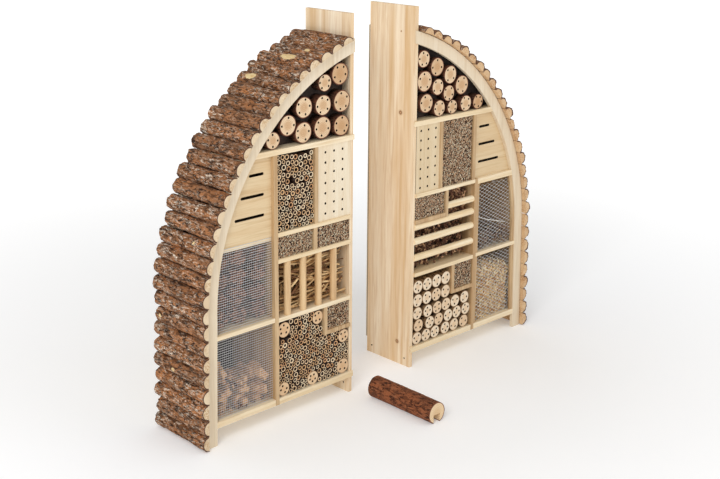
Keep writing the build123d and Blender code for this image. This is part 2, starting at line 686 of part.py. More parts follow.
def right_half():
    nodes = frame_nodes("right", RIGHT_UPPER_TOP)
    lower_under = RIGHT_LOWER_TOP - CELL_BOARD
    upper_under = RIGHT_UPPER_TOP - CELL_BOARD
    corner_in = RIGHT_CORNER_WALL_AT + CELL_BOARD
    corner_under = RIGHT_CORNER_TOP - CELL_BOARD
    tall_cell = BLOCK_DIVIDER_AT + CELL_BOARD
    cell_under = REED_CELL_TOP - CELL_BOARD
    reed_cell_out = REED_CELL_WALL_AT + CELL_BOARD
    slot_under = RIGHT_UPPER_TOP - RIGHT_SLOT_BOARD
    upper_divider = block(RIGHT_UPPER_DIVIDER_AT, RIGHT_UPPER_DIVIDER_AT + DIVIDER_BOARD,
                          0, REAR, RIGHT_UPPER_TOP, CROWN_UNDER)

    nodes["right_upper_shelf"] = [cell_shelf(RIGHT_UPPER_TOP)]
    nodes["right_lower_shelf"] = [cell_shelf(RIGHT_LOWER_TOP)]
    nodes["right_cell_dividers"] = [
        cell_wall(BLOCK_DIVIDER_AT, RIGHT_UPPER_TOP, CROWN_UNDER),
        upper_divider,
    ]
    nodes["right_reed_cell"] = [
        block(SPINE_BOARD, reed_cell_out, 0, REAR, cell_under, REED_CELL_TOP),
        cell_wall(REED_CELL_WALL_AT, REED_CELL_TOP, upper_under),
    ]
    nodes["right_corner_cell"] = [
        cell_wall(RIGHT_CORNER_WALL_AT, corner_under, lower_under),
        block(corner_in, DIVIDER_AT, 0, REAR, corner_under, RIGHT_CORNER_TOP),
    ]
    nodes["right_slot_shelf"] = [slot_shelf(RIGHT_UPPER_TOP, RIGHT_SLOT_BOARD, 0)]
    nodes["right_slot_panel"] = [
        slotted_panel(RIGHT_UPPER_DIVIDER_AT + DIVIDER_BOARD, RIGHT_UPPER_TOP)]
    nodes["right_wire_mesh"] = [
        mesh_panel(BASE_TOP, MESH_SHELF_TOP - CELL_BOARD),
        mesh_panel(MESH_SHELF_TOP, slot_under)]
    nodes["right_mesh_battens"] = mesh_battens()
    nodes["right_drilled_block"] = [
        drilled_block(SPINE_BOARD, BLOCK_DIVIDER_AT, RIGHT_UPPER_TOP, CROWN_UNDER)]
    nodes["right_reeds"] = [
        reed_bundle(tall_cell, RIGHT_UPPER_DIVIDER_AT, RIGHT_UPPER_TOP, CROWN_UNDER),
        reed_bundle(SPINE_BOARD, REED_CELL_WALL_AT, REED_CELL_TOP, upper_under),
        reed_bundle(corner_in, DIVIDER_AT, RIGHT_CORNER_TOP, lower_under),
    ]
    nodes["right_cross_bars"] = cross_bars()
    nodes["right_bark_chips"] = [bark_chip_stack()]
    nodes["right_crown_slices"] = drilled_slices(
        settle(RIGHT_CROWN, crown_limits, rounds=200), CROWN_SLICE_LENGTH, 23,
        CROWN_HOLES, CROWN_HOLE_REACH)
    corner = (RIGHT_CORNER_WALL_AT, DIVIDER_AT, corner_under)
    laid = [(u, z, r) for z, r, row in RIGHT_LOWER_ROWS for u in row]
    limits = cell_limits(SPINE_BOARD, DIVIDER_AT, BASE_TOP, lower_under, corner)
    slices = settle(laid, limits, rounds=400)
    nodes["right_lower_slices"] = drilled_slices(
        slices, LOWER_SLICE_LENGTH, 29, RIGHT_LOWER_HOLES, LOWER_HOLE_REACH)
    nodes["right_twigs"] = [bay_pile(MESH_SHELF_TOP, TWIG_PILE_HEIGHT), peeled_stick()]
    nodes["right_straw"] = [bay_pile(BASE_TOP, STRAW_HEIGHT)]
    return nodes


def ridge_log():
    """The log that caps both spine boards, lying on the ground on its groove's two edges."""
    half_groove = SPINE_BOARD + LOG_GROOVE_CLEARANCE
    axis_height = math.sqrt(LOG_R**2 - half_groove**2)
    rear = -SLAB_OVERHANG - LOG_REAR_END
    log = rod(0, axis_height, rear - LOG_LENGTH, rear, LOG_R)
    log -= block(-half_groove, half_groove, rear - LOG_LENGTH - 1, rear + 1, -LOG_R, LOG_GROOVE_DEPTH)
    return log


# ---------------------------------------------------------------- writing the parts

def write_parts():
    os.makedirs("parts", exist_ok=True)
    depth_shift = -SPINE_SETBACK - SPINE_DEPTH / 2
    left_place = Pos(SPINE_BOARD / 2, depth_shift, 0)
    right_place = Pos(SPINE_BOARD / 2 + HALF_GAP, depth_shift, 0)
    log_place = Pos(LOG_PLACE, depth_shift, 0)
    parts = {}
    for name, pieces in left_half().items():
        parts[name] = [left_place * mirror(piece, about=Plane.YZ) for piece in pieces]
    for name, pieces in right_half().items():
        parts[name] = [right_place * piece for piece in pieces]
    parts["ridge_log"] = [log_place * ridge_log()]
    for name, pieces in parts.items():
        solids = [solid for piece in pieces for solid in piece.solids()]
        export_step(Compound(solids), f"parts/{name}.step")
    print(len(parts), "parts written")


write_parts()
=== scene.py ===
import math
import random

import bmesh
import bpy
import numpy as np
from mathutils import Matrix, Vector


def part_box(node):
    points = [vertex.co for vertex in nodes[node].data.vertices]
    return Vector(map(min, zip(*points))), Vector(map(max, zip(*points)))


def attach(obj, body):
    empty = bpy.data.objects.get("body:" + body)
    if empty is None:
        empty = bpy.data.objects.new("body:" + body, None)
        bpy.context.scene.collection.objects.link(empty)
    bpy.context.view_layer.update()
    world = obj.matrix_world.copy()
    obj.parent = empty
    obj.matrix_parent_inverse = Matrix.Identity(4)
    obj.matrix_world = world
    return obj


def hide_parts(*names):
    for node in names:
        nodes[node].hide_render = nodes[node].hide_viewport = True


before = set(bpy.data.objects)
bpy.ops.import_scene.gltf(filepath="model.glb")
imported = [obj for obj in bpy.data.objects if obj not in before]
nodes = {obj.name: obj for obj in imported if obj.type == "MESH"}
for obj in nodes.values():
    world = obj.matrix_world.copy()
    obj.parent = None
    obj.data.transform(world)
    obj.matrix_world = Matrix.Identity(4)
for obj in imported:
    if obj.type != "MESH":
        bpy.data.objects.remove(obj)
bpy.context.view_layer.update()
scene = bpy.context.scene
MM = 0.001


# ---- Camera -------------------------------------------------------------------------------
# A level studio camera to the left of both halves, looking across their fronts. Its shift is
# only what keeps the uprights upright in the frame.
CAMERA_PLACE = Vector((-1.7815, -1.9387, 1.1997))
CAMERA_AZIMUTH = -43.635
CAMERA_ELEVATION = 13.78
CAMERA_ROLL = 0.367

camera = bpy.data.objects.new("camera", bpy.data.cameras.new("camera"))
camera.data.sensor_width = 36.0
camera.data.lens = 58.573
camera.data.shift_x = 0.0139
camera.data.shift_y = -0.1104
turned = (Matrix.Rotation(math.radians(CAMERA_AZIMUTH), 4, "Z")
          @ Matrix.Rotation(math.radians(90 - CAMERA_ELEVATION), 4, "X")
          @ Matrix.Rotation(math.radians(CAMERA_ROLL), 4, "Z"))
camera.matrix_world = Matrix.Translation(CAMERA_PLACE) @ turned
scene.collection.objects.link(camera)
scene.camera = camera


# ---- Studio -------------------------------------------------------------------------------
# A white seamless floor under soft light from the left and the front. The floor is the stage
# and no part of the hotel.
def tint(red, green, blue):
    """A screen colour, each part from 0 to 255, as the shader's own linear values."""
    parts = [value / 255 for value in (red, green, blue)]
    linear = [p / 12.92 if p < 0.04045 else ((p + 0.055) / 1.055) ** 2.4 for p in parts]
    return (*linear, 1.0)


def put(tree, kind, inputs=None, **settings):
    """Adds a node to a tree. An input is given a value, or the socket that feeds it."""
    node = tree.nodes.new(kind)
    for key, value in settings.items():
        setattr(node, key, value)
    for key, value in (inputs or {}).items():
        if isinstance(value, bpy.types.NodeSocket):
            tree.links.new(value, node.inputs[key])
        else:
            node.inputs[key].default_value = value
    return node


def link_object(name, data):
    """Puts data in the scene as an object at the origin."""
    made = bpy.data.objects.new(name, data)
    scene.collection.objects.link(made)
    return made


FLOOR_HALF = 9.0
floor_mesh = bpy.data.meshes.new("floor")
floor_mesh.from_pydata([(-FLOOR_HALF, -FLOOR_HALF, 0), (FLOOR_HALF, -FLOOR_HALF, 0),
                        (FLOOR_HALF, FLOOR_HALF, 0), (-FLOOR_HALF, FLOOR_HALF, 0)], [], [(0, 1, 2, 3)])
floor = link_object("floor", floor_mesh)
white_paper = bpy.data.materials.new("white_paper")
white_paper.use_nodes = True
paper_shader = white_paper.node_tree.nodes["Principled BSDF"]
paper_shader.inputs["Base Color"].default_value = (0.9, 0.9, 0.9, 1)
paper_shader.inputs["Roughness"].default_value = 0.9
paper_shader.inputs["Emission Color"].default_value = (1.0, 1.0, 1.0, 1)
paper_tree = white_paper.node_tree
spot = put(paper_tree, "ShaderNodeTexCoord").outputs["Object"]
away = put(paper_tree, "ShaderNodeVectorMath", {0: spot, 1: (0.1, 0, 0)}, operation="DISTANCE")
glow = put(paper_tree, "ShaderNodeMapRange", {
    "Value": away.outputs["Value"], "From Min": 0.5, "From Max": 3.0, "To Min": 0.16, "To Max": 0.6})
paper_tree.links.new(glow.outputs["Result"], paper_shader.inputs["Emission Strength"])
floor_mesh.materials.append(white_paper)

scene.view_settings.view_transform = "Standard"
scene.world = bpy.data.worlds.new("studio_air")
scene.world.use_nodes = True
air = scene.world.node_tree.nodes["Background"]
air.inputs["Color"].default_value = (1.0, 1.0, 1.0, 1)
air_tree = scene.world.node_tree
in_view = put(air_tree, "ShaderNodeLightPath").outputs["Is Camera Ray"]
strength = put(air_tree, "ShaderNodeMapRange", {"Value": in_view, "To Min": 0.6, "To Max": 1.0})
air_tree.links.new(strength.outputs["Result"], air.inputs["Strength"])


def soft_light(name, place, aim, size, power):
    """A square lamp at a place, turned to what it lights."""
    lamp = bpy.data.lights.new(name, "AREA")
    lamp.shape = "SQUARE"
    lamp.size = size
    lamp.energy = power
    hung = link_object(name, lamp)
    hung.matrix_world = Matrix.Translation(place) @ (
        Vector(aim) - Vector(place)).to_track_quat("-Z", "Y").to_matrix().to_4x4()


MIDDLE = (0.1, 0.0, 0.4)
soft_light("key_left", (-2.6, -1.5, 2.3), MIDDLE, 1.3, 44)
soft_light("front_fill", (1.2, -3.2, 1.5), MIDDLE, 2.0, 14)


# ---- Spine boards -------------------------------------------------------------------------
# Two tall planed spruce boards, one at the back of each half, that stand back to back when
# the hotel is closed. Clear boards with long bands of grain, and a few knots in the right one.
def new_finish(name, roughness):
    """A material, its node tree, its shader, and the object's own coordinates."""
    material = bpy.data.materials.new(name)
    material.use_nodes = True
    tree = material.node_tree
    shader = tree.nodes["Principled BSDF"]
    shader.inputs["Roughness"].default_value = roughness
    place = put(tree, "ShaderNodeTexCoord").outputs["Object"]
    return material, tree, shader, place


def stretched(tree, place, stretch):
    """Coordinates drawn out along the axes where stretch is small."""
    return put(tree, "ShaderNodeMapping", {"Vector": place, "Scale": stretch}).outputs["Vector"]


def cloud(tree, place, scale, detail=2.0, roughness=0.5, distortion=0.0):
    """A soft random value from 0 to 1, its size in patches to the metre."""
    return put(tree, "ShaderNodeTexNoise", {
        "Vector": place, "Scale": scale, "Detail": detail, "Roughness": roughness,
        "Distortion": distortion}).outputs["Fac"]


def span(tree, value, low, high, start=0.0, end=1.0):
    """The value's way from low to high, as a share from start to end."""
    return put(tree, "ShaderNodeMapRange", {
        "Value": value, "From Min": low, "From Max": high, "To Min": start,
        "To Max": end}).outputs["Result"]


def blended(tree, share, first, second):
    """The first colour at a share of 0, and the second at 1."""
    return put(tree, "ShaderNodeMix", {0: share, 6: first, 7: second}, data_type="RGBA").outputs[2]


def multiplied(tree, first, second):
    return put(tree, "ShaderNodeMath", {0: first, 1: second}, operation="MULTIPLY").outputs[0]


def added(tree, first, second):
    return put(tree, "ShaderNodeMath", {0: first, 1: second}, operation="ADD").outputs[0]


def distance(tree, place, centre):
    """How far a place lies from a centre."""
    return put(tree, "ShaderNodeVectorMath", {0: place, 1: centre},
               operation="DISTANCE").outputs["Value"]


def paint(tree, shader, colour, height=None, strength=0.3, depth=0.0006):
    """Gives the shader its colour, and a bump from a height if there is one."""
    tree.links.new(colour, shader.inputs["Base Color"])
    if height is not None:
        bump = put(tree, "ShaderNodeBump", {
            "Height": height, "Strength": strength, "Distance": depth})
        tree.links.new(bump.outputs["Normal"], shader.inputs["Normal"])


def depth_of(tree, place):
    """How far back a place lies."""
    return put(tree, "ShaderNodeSeparateXYZ", {0: place}).outputs["Y"]


def deep_shade(tree, place, colour, shown):
    """Darkens what lies further back than shown, so that holes and slots look deep."""
    return blended(tree, span(tree, depth_of(tree, place), shown, shown + SHADE_FADE), colour,
                   BORE_SHADE)


def planed_board(name, along, pale, band, line, band_scale, knots=(), bores=(), deep=None):
    """Planed softwood: broad soft bands and fine lines along one axis, and any knots.

    The walls of a bore, and all that lies further back than deep, take painted shade.
    """
    material, tree, shader, place = new_finish(name, 0.55)
    stretch = [1.0, 1.0, 1.0]
    stretch["XYZ".index(along)] = GRAIN_DRAWN
    run = stretched(tree, place, stretch)
    broad = span(tree, cloud(tree, run, band_scale, 3.0, 0.6, 0.4), 0.38, 0.64)
    fine = cloud(tree, run, FINE_GRAIN, 3.0, 0.6)
    growth = cloud(tree, run, GROWTH_LINES, 2.0, 0.5, 0.6)
    colour = blended(tree, broad, pale, band)
    colour = blended(tree, span(tree, growth, 0.5, 0.7, 0, 0.55), colour, line)
    colour = blended(tree, span(tree, fine, 0.5, 0.75, 0, 0.4), colour, line)
    for centre, size in knots:
        apart = distance(tree, place, centre)
        colour = blended(tree, span(tree, apart, size * 1.6, size * 0.7, 0, 0.75), colour, line)
        colour = blended(tree, span(tree, apart, size, size * 0.6, 0, 0.9), colour, KNOT_BROWN)
        colour = blended(tree, span(tree, apart, size * 0.45, size * 0.3, 0, 0.8), colour, line)
    for centre, reach in bores:
        apart = distance(tree, place, centre)
        colour = blended(tree, span(tree, apart, reach, reach - BORE_EDGE), colour, BORE_SHADE)
    if deep is not None:
        colour = deep_shade(tree, place, colour, deep)
    paint(tree, shader, colour, fine, 0.25)
    return material


def dress(material, *names):
    """Gives kept CAD nodes a material."""
    for name in names:
        mesh = nodes[name].data
        mesh.materials.clear()
        mesh.materials.append(material)


GRAIN_DRAWN = 0.045        # how little the grain changes along a board
FINE_GRAIN = 420.0
GROWTH_LINES = 130.0
KNOT_BROWN = tint(128, 80, 46)
BORE_SHADE = tint(38, 27, 20)
BORE_EDGE = 0.1 * MM
SHADE_FADE = 0.8 * MM
SPRUCE_PALE = tint(246, 228, 200)
SPRUCE_BAND = tint(222, 188, 142)
SPRUCE_LINE = tint(208, 168, 118)
JOIN_HOLE_INSET = 17.5 * MM
JOIN_HOLE_HEIGHT = 20 * MM
BORE_REACH = 1.06          # a ball round a bore's middle that takes in its whole wall
RIGHT_KNOTS = ((43, 58, 6), (44, 643, 6), (46, 838, 2.2))    # mm from the front, up, and radius
for half, band_scale, board_knots in (("left", 30.0, ()), ("right", 34.0, RIGHT_KNOTS)):
    low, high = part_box(f"{half}_spine_board")
    half_board = (high.x - low.x) / 2
    # Painted shade darkens the walls of the two join holes.
    bores = [((low.x + half_board, edge, JOIN_HOLE_HEIGHT), half_board * BORE_REACH)
             for edge in (low.y + JOIN_HOLE_INSET, high.y - JOIN_HOLE_INSET)]
    knots = [((low.x, low.y + across * MM, height * MM), radius * MM)
             for across, height, radius in board_knots]
    board = planed_board(f"{half}_spruce_board", "Z", SPRUCE_PALE, SPRUCE_BAND, SPRUCE_LINE,
                         band_scale, knots, bores)
    dress(board, f"{half}_spine_board")


# ---- Arches -------------------------------------------------------------------------------
# Each half has a front and a rear arch sawn from birch ply: a straight leg that turns into
# the curve. The faces are pale, with a faint figure.
PLY_PALE = tint(231, 216, 191)
PLY_BAND = tint(223, 205, 176)
PLY_LINE = tint(205, 182, 149)
ply = planed_board("birch_ply_arch", "Z", PLY_PALE, PLY_BAND, PLY_LINE, 22.0)
dress(ply, "left_front_arch", "left_rear_arch", "right_front_arch", "right_rear_arch")


# ---- Back panels --------------------------------------------------------------------------
# A thin panel closes the back of each half. It is pale outside and painted near black inside,
# painted shade so that the bays look deep.
INNER_SHADE_DEPTH = 2 * MM       # how far into the panel the painted shade reaches
INNER_SHADE_EDGE = 0.2 * MM
INNER_SHADE = tint(44, 38, 36)
INNER_SHADE_MOTTLED = tint(66, 54, 48)


def back_board(name, node):
    """Pale outside like the arches, with mottled painted shade inside."""
    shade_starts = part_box(node)[0].y + INNER_SHADE_DEPTH
    material, tree, shader, place = new_finish(name, 0.6)
    run = stretched(tree, place, (1, 1, 0.05))
    broad = span(tree, cloud(tree, run, 18.0, 3.0, 0.6, 0.4), 0.35, 0.65)
    pale = blended(tree, broad, PLY_PALE, PLY_BAND)
    outside = span(tree, depth_of(tree, place), shade_starts, shade_starts + INNER_SHADE_EDGE)
    mottle = span(tree, cloud(tree, place, 60.0), 0.3, 0.7)
    inner = blended(tree, mottle, INNER_SHADE, INNER_SHADE_MOTTLED)
    paint(tree, shader, blended(tree, outside, inner, pale), cloud(tree, run, FINE_GRAIN), 0.2,
          0.0005)
    return material


for half in ("left", "right"):
    dress(back_board(f"{half}_back_board", f"{half}_back_panel"), f"{half}_back_panel")


# ---- Panel screws -------------------------------------------------------------------------
# Zinc-plated countersunk wood screws with a cross recess hold each back panel to the rear
# arch and the spine board, driven flush from behind.
def node_tree(name, sizes):
    """A Geometry Nodes tree with a mesh in, a mesh out and these named inputs."""
    kinds = {float: "NodeSocketFloat", int: "NodeSocketInt", tuple: "NodeSocketVector",
             bpy.types.Object: "NodeSocketObject", bpy.types.Material: "NodeSocketMaterial"}
    tree = bpy.data.node_groups.new(name, "GeometryNodeTree")
    tree.interface.new_socket("Mesh", in_out="INPUT", socket_type="NodeSocketGeometry")
    tree.interface.new_socket("Mesh", in_out="OUTPUT", socket_type="NodeSocketGeometry")
    for label, kind in sizes.items():
        tree.interface.new_socket(label, in_out="INPUT", socket_type=kinds[kind])
    return tree, tree.nodes.new("NodeGroupInput"), tree.nodes.new("NodeGroupOutput")


def run_tree(tree, name, mesh, sizes):
    """Runs a tree on a mesh and gives the result as a plain mesh object."""
    worker = link_object(name + "_worker", mesh)
    modifier = worker.modifiers.new(tree.name, "NODES")
    modifier.node_group = tree
    for item in tree.interface.items_tree:
        if item.item_type == "SOCKET" and item.in_out == "INPUT" and item.name in sizes:
            modifier[item.identifier] = sizes[item.name]
    depsgraph = bpy.context.evaluated_depsgraph_get()
    result = bpy.data.meshes.new_from_object(worker.evaluated_get(depsgraph))
    bpy.data.objects.remove(worker)
    result.name = name
    return link_object(name, result)


def scaled(tree, vector, share):
    return put(tree, "ShaderNodeVectorMath", {0: vector, "Scale": share},
               operation="SCALE").outputs["Vector"]


def own(tree, label, kind):
    """A mesh's own attribute."""
    return put(tree, "GeometryNodeInputNamedAttribute", {"Name": label}, data_type=kind).outputs[0]


def finish_tree(tree, given, out, geometry, sawn=False):
    """Ends a tree: a real mesh in its material, its faces marked "sawn" in one of their own."""
    real = put(tree, "GeometryNodeRealizeInstances", {"Geometry": geometry})
    whole = put(tree, "GeometryNodeSetMaterial", {
        "Geometry": real.outputs["Geometry"], "Material": given.outputs["Material"]})
    if sawn:
        whole = put(tree, "GeometryNodeSetMaterial", {
            "Geometry": whole.outputs["Geometry"], "Selection": own(tree, "sawn", "BOOLEAN"),
            "Material": given.outputs["Sawn Material"]})
    tree.links.new(whole.outputs["Geometry"], out.inputs["Mesh"])
    return tree


def laying_tree():
    """Lays copies of one shape on the points it is given, each a little out of its place.

    A point's own "turn" and "size" say how its copy is turned and scaled. Every copy gets a
    random "tone" and "lot" for its colour. Faces marked "sawn" take the second material.
    """
    tree, given, out = node_tree("laid_pieces", {
        "Shape": bpy.types.Object, "Jitter": tuple, "Seed": int,
        "Material": bpy.types.Material, "Sawn Material": bpy.types.Material})
    seed, jitter = given.outputs["Seed"], given.outputs["Jitter"]
    stray = put(tree, "FunctionNodeRandomValue", {
        0: scaled(tree, jitter, -1.0), 1: jitter, "Seed": added(tree, seed, 1.0)},
        data_type="FLOAT_VECTOR").outputs[0]
    moved = put(tree, "GeometryNodeSetPosition", {
        "Geometry": given.outputs["Mesh"], "Offset": stray})
    shape = put(tree, "GeometryNodeObjectInfo", {"Object": given.outputs["Shape"]})
    turn = put(tree, "FunctionNodeEulerToRotation", {0: own(tree, "turn", "FLOAT_VECTOR")})
    laid = put(tree, "GeometryNodeInstanceOnPoints", {
        "Points": moved.outputs["Geometry"], "Instance": shape.outputs["Geometry"],
        "Rotation": turn.outputs[0], "Scale": own(tree, "size", "FLOAT_VECTOR")})
    passed = laid.outputs["Instances"]
    for offset, label in ((4.0, "tone"), (5.0, "lot")):
        chance = put(tree, "FunctionNodeRandomValue", {"Seed": added(tree, seed, offset)},
                     data_type="FLOAT")
        stored = put(tree, "GeometryNodeStoreNamedAttribute", {
            "Geometry": passed, "Name": label, "Value": chance.outputs[1]},
            data_type="FLOAT", domain="INSTANCE")
        passed = stored.outputs["Geometry"]
    return finish_tree(tree, given, out, passed, sawn=True)


laid_pieces = laying_tree()


def welded(node):
    """A CAD node's mesh with its loose triangles joined."""
    merged = bmesh.new()
    merged.from_mesh(nodes[node].data)
    bmesh.ops.remove_doubles(merged, verts=merged.verts, dist=1e-6)
    return merged


def joined_corners(merged):
    """The corners of each separate solid of a welded mesh."""
    seen = set()
    groups = []
    for start in merged.verts:
        if start in seen:
            continue
        seen.add(start)
        group = [start]
        for corner in group:
            for edge in corner.link_edges:
                other = edge.other_vert(corner)
                if other not in seen:
                    seen.add(other)
                    group.append(other)
        groups.append(group)
    return groups


def separate_solids(node):
    """The corner points of each separate solid of a CAD node."""
    merged = welded(node)
    solids = [np.array([tuple(corner.co) for corner in group]) for group in joined_corners(merged)]
    merged.free()
    return solids


def extent(solid):
    """The lowest and highest corner of a solid's box."""
    return solid.min(axis=0), solid.max(axis=0)


def shape_object(name, points, faces, sawn=(), smooth=True):
    """A pattern shape for laying, with its sawn faces marked and flat."""
    mesh = bpy.data.meshes.new(name)
    mesh.from_pydata([tuple(p) for p in points], [], [list(f) for f in faces])
    cut = set(sawn)
    flags = [index in cut for index in range(len(faces))]
    mesh.attributes.new("sawn", "BOOLEAN", "FACE").data.foreach_set("value", flags)
    mesh.polygons.foreach_set("use_smooth", [smooth and not flag for flag in flags])
    return link_object(name, mesh)


def bands(rings, count):
    """The faces between rings of so many points, ring after ring."""
    faces = []
    for ring in range(rings - 1):
        for side in range(count):
            a, b = ring * count + side, ring * count + (side + 1) % count
            faces.append((a, b, b + count, a + count))
    return faces


def closed_bands(rings, count):
    """The faces between rings, and a face over the first ring and the last."""
    last = (rings - 1) * count
    return bands(rings, count) + [tuple(range(count))[::-1], tuple(range(last, last + count))]


def points_mesh(name, places, turns, sizes):
    """Points to lay pieces on, each with its turn and its size."""
    mesh = bpy.data.meshes.new(name)
    mesh.from_pydata([tuple(p) for p in places], [], [])
    turns = turns or [(0, 0, 0)] * len(places)
    sizes = sizes or [(1, 1, 1)] * len(places)
    for label, values in (("turn", turns), ("size", sizes)):
        held = mesh.attributes.new(label, "FLOAT_VECTOR", "POINT")
        held.data.foreach_set("vector", np.array(values, float).ravel())
    return mesh


def lay(name, shape, places, turns, sizes, material, sawn_material=None, seed=1,
        jitter=(0, 0, 0)):
    """Lays copies of a shape on points and gives them back as one plain piece."""
    points = points_mesh(name + "_points", places, turns, sizes)
    return run_tree(laid_pieces, name, points, {
        "Shape": shape, "Jitter": jitter, "Seed": seed, "Material": material,
        "Sawn Material": sawn_material or material})


def hang(piece, body, slot, *replaced):
    """A finished piece rides on its body and stands for its CAD nodes."""
    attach(piece, body)
    if replaced:
        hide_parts(*replaced)


def screw_shape():
    """A flat countersunk head with a cross recess, and its shank, the head at Y = 0."""
    head_r, shank_r, head, length = 4.0 * MM, 1.75 * MM, 2.4 * MM, 13.0 * MM
    arm, half, deep = 2.4 * MM, 0.55 * MM, 1.3 * MM
    cross = [(arm, half), (half, half), (half, arm), (-half, arm), (-half, half), (-arm, half),
             (-arm, -half), (-half, -half), (-half, -arm), (half, -arm), (half, -half), (arm, -half)]
    around = []
    for x, z in cross:
        angle = math.atan2(z, x)
        around.append((head_r * math.cos(angle), head_r * math.sin(angle)))
    layers = [[(x * 0.7, -deep, z * 0.7) for x, z in cross], [(x, 0, z) for x, z in cross],
              [(x * 0.97, 0, z * 0.97) for x, z in around],
              [(x, -0.15 * MM, z) for x, z in around],
              [(x * shank_r / head_r, -head, z * shank_r / head_r) for x, z in around],
              [(x * shank_r / head_r, -length, z * shank_r / head_r) for x, z in around]]
    points = [p for layer in layers for p in layer]
    return shape_object("screw_shape", points, closed_bands(len(layers), len(cross)), smooth=False)


zinc, tree, shader, place = new_finish("zinc_plate", 0.35)
shader.inputs["Metallic"].default_value = 1.0
wear = cloud(tree, place, 900.0, 3.0)
colour = blended(tree, span(tree, wear, 0.4, 0.6), tint(196, 198, 200), tint(160, 160, 156))
paint(tree, shader, colour, wear, 0.2, 0.0002)
SCREW_TURN = 0.4           # each screw stops a little further round than the last
screw = screw_shape()
for half in ("left", "right"):
    node = f"{half}_panel_screws"
    heads = []
    for solid in separate_solids(node):
        low, high = extent(solid)
        heads.append(((low[0] + high[0]) / 2, high[1], (low[2] + high[2]) / 2))
    turns = [(0, SCREW_TURN * number, 0) for number in range(len(heads))]
    hang(lay(f"{half}_screws", screw, heads, turns, None, zinc), f"{half}_half", "zinc_screw", node)
bpy.data.objects.remove(screw)


# ---- Shelves, dividers and cell walls -----------------------------------------------------
# Planed spruce strips glued and pinned between the spine board, the arch and each other. The
# grain of a shelf runs across the half, and that of a divider runs up.
SHELF_PALE = tint(244, 227, 196)
SHELF_BAND = tint(230, 205, 162)
SHELF_LINE = tint(212, 180, 132)
shelf_wood = planed_board("shelf_spruce", "X", SHELF_PALE, SHELF_BAND, SHELF_LINE, 40.0)
# The dividers, cell walls and battens take a darker copy of the shelf spruce: painted shade on their
# sides, which face into the cells.
shaded_upright_wood = planed_board("divider_spruce_shaded", "Z", tint(208, 178, 136), tint(184, 148, 104),
                            tint(150, 112, 72), 40.0)
for half in ("left", "right"):
    dress(shelf_wood, *[f"{half}_{shelf}" for shelf in (
        "crown_shelf", "inner_base_shelf", "outer_base_shelf", "mesh_shelf", "upper_shelf",
        "lower_shelf", "slot_shelf")])
    dress(shaded_upright_wood, f"{half}_main_divider", f"{half}_cell_dividers", f"{half}_corner_cell")
dress(shelf_wood, "left_middle_shelf")
dress(shaded_upright_wood, "right_reed_cell")


# ---- Drilled blocks -----------------------------------------------------------------------
# A softwood block in each half, drilled with three rows of seven nesting holes. The face is the
# palest wood of the hotel, and painted shade darkens the walls of the holes.
block_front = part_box("left_drilled_block")[0].y
for half, pale, band, line in (
        ("left", tint(236, 222, 196), tint(229, 210, 180), tint(218, 194, 156)),
        ("right", tint(222, 202, 168), tint(214, 190, 150), tint(202, 174, 130))):
    block_wood = planed_board(f"{half}_block_softwood", "Z", pale, band, line, 20.0,
                              deep=block_front + 0.1 * MM)
    dress(block_wood, f"{half}_drilled_block")


# ---- Slotted panels -----------------------------------------------------------------------
# A thin spruce panel with three long round-ended slots for lacewings and ladybirds, set behind
# each arch, with painted shade on the slots' walls and in the chamber behind it.
panel_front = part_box("left_slot_panel")[0].y
panel_wood = planed_board("panel_spruce", "X", tint(222, 198, 158), tint(212, 182, 138),
                          tint(194, 160, 112), 24.0, deep=panel_front + 0.3 * MM)
dress(panel_wood, "left_slot_panel", "right_slot_panel")


# ---- Dowels, cross bars and battens -------------------------------------------------------
# Turned beech-like rods: four upright ones in the left half, four level ones in the right.
# Thin battens hold the edges of the right half's mesh.
dowel_wood = planed_board("dowel_wood", "Z", tint(226, 194, 148), tint(208, 170, 122),
                          tint(182, 140, 94), 60.0)
bar_wood = planed_board("bar_wood", "X", tint(250, 235, 204), tint(240, 216, 174),
                        tint(221, 188, 140), 60.0)
dress(dowel_wood, "left_dowels")
dress(bar_wood, "right_cross_bars")
dress(shaded_upright_wood, "right_mesh_battens")


# ---- Crown liners -------------------------------------------------------------------------
# A dark stained board behind the branch slices in each crown, so that the gaps between the
# slices look deep.
liner, tree, shader, place = new_finish("dark_liner", 0.85)
mottle = cloud(tree, place, 55.0, 4.0, 0.6)
colour = blended(tree, span(tree, mottle, 0.35, 0.65), tint(40, 31, 28), tint(72, 56, 48))
paint(tree, shader, colour, mottle, 0.6, 0.003)
dress(liner, "left_crown_liner", "right_crown_liner")


# ---- Bark slabs ---------------------------------------------------------------------------
# Each half is roofed with half-round slabs of pine with the bark left on, nailed flat side
# down across both arches. The sawn ends are pale and a few slabs have lost some bark.
def drawn_solid(name, section, bark_flags, stations, rim=1.0):
    """A section (across, up) drawn along Y, with its bark points and its sawn faces marked.

    A rim under 1 puts a second outline inside each end, where the bark stops.
    """
    count = len(section)
    points = [(x, y, z) for y in stations for x, z in section]
    marks = [float(flag) for flag in bark_flags] * len(stations)
    faces = bands(len(stations), count)
    flat = [side for side in range(count)
            if not (bark_flags[side] or bark_flags[(side + 1) % count])]
    sawn = [ring * count + side for ring in range(len(stations) - 1) for side in flat]
    middle_x = sum(x for x, _ in section) / count
    for outline, y, turn in ((0, stations[0], 1), ((len(stations) - 1) * count, stations[-1], -1)):
        if rim < 1:
            inset = len(points)
            points += [(middle_x + (x - middle_x) * rim, y, z * rim) for x, z in section]
            marks += [0.0] * count
            for side in range(count):
                after = (side + 1) % count
                sawn.append(len(faces))
                faces.append([outline + side, inset + side, inset + after, outline + after][::turn])
            outline = inset
        sawn.append(len(faces))
        faces.append([outline + side for side in range(count)][::-turn])
    made = shape_object(name, points, faces, sawn)
    bark = made.data.attributes.new("bark", "FLOAT", "POINT")
    bark.data.foreach_set("value", marks)
    return made


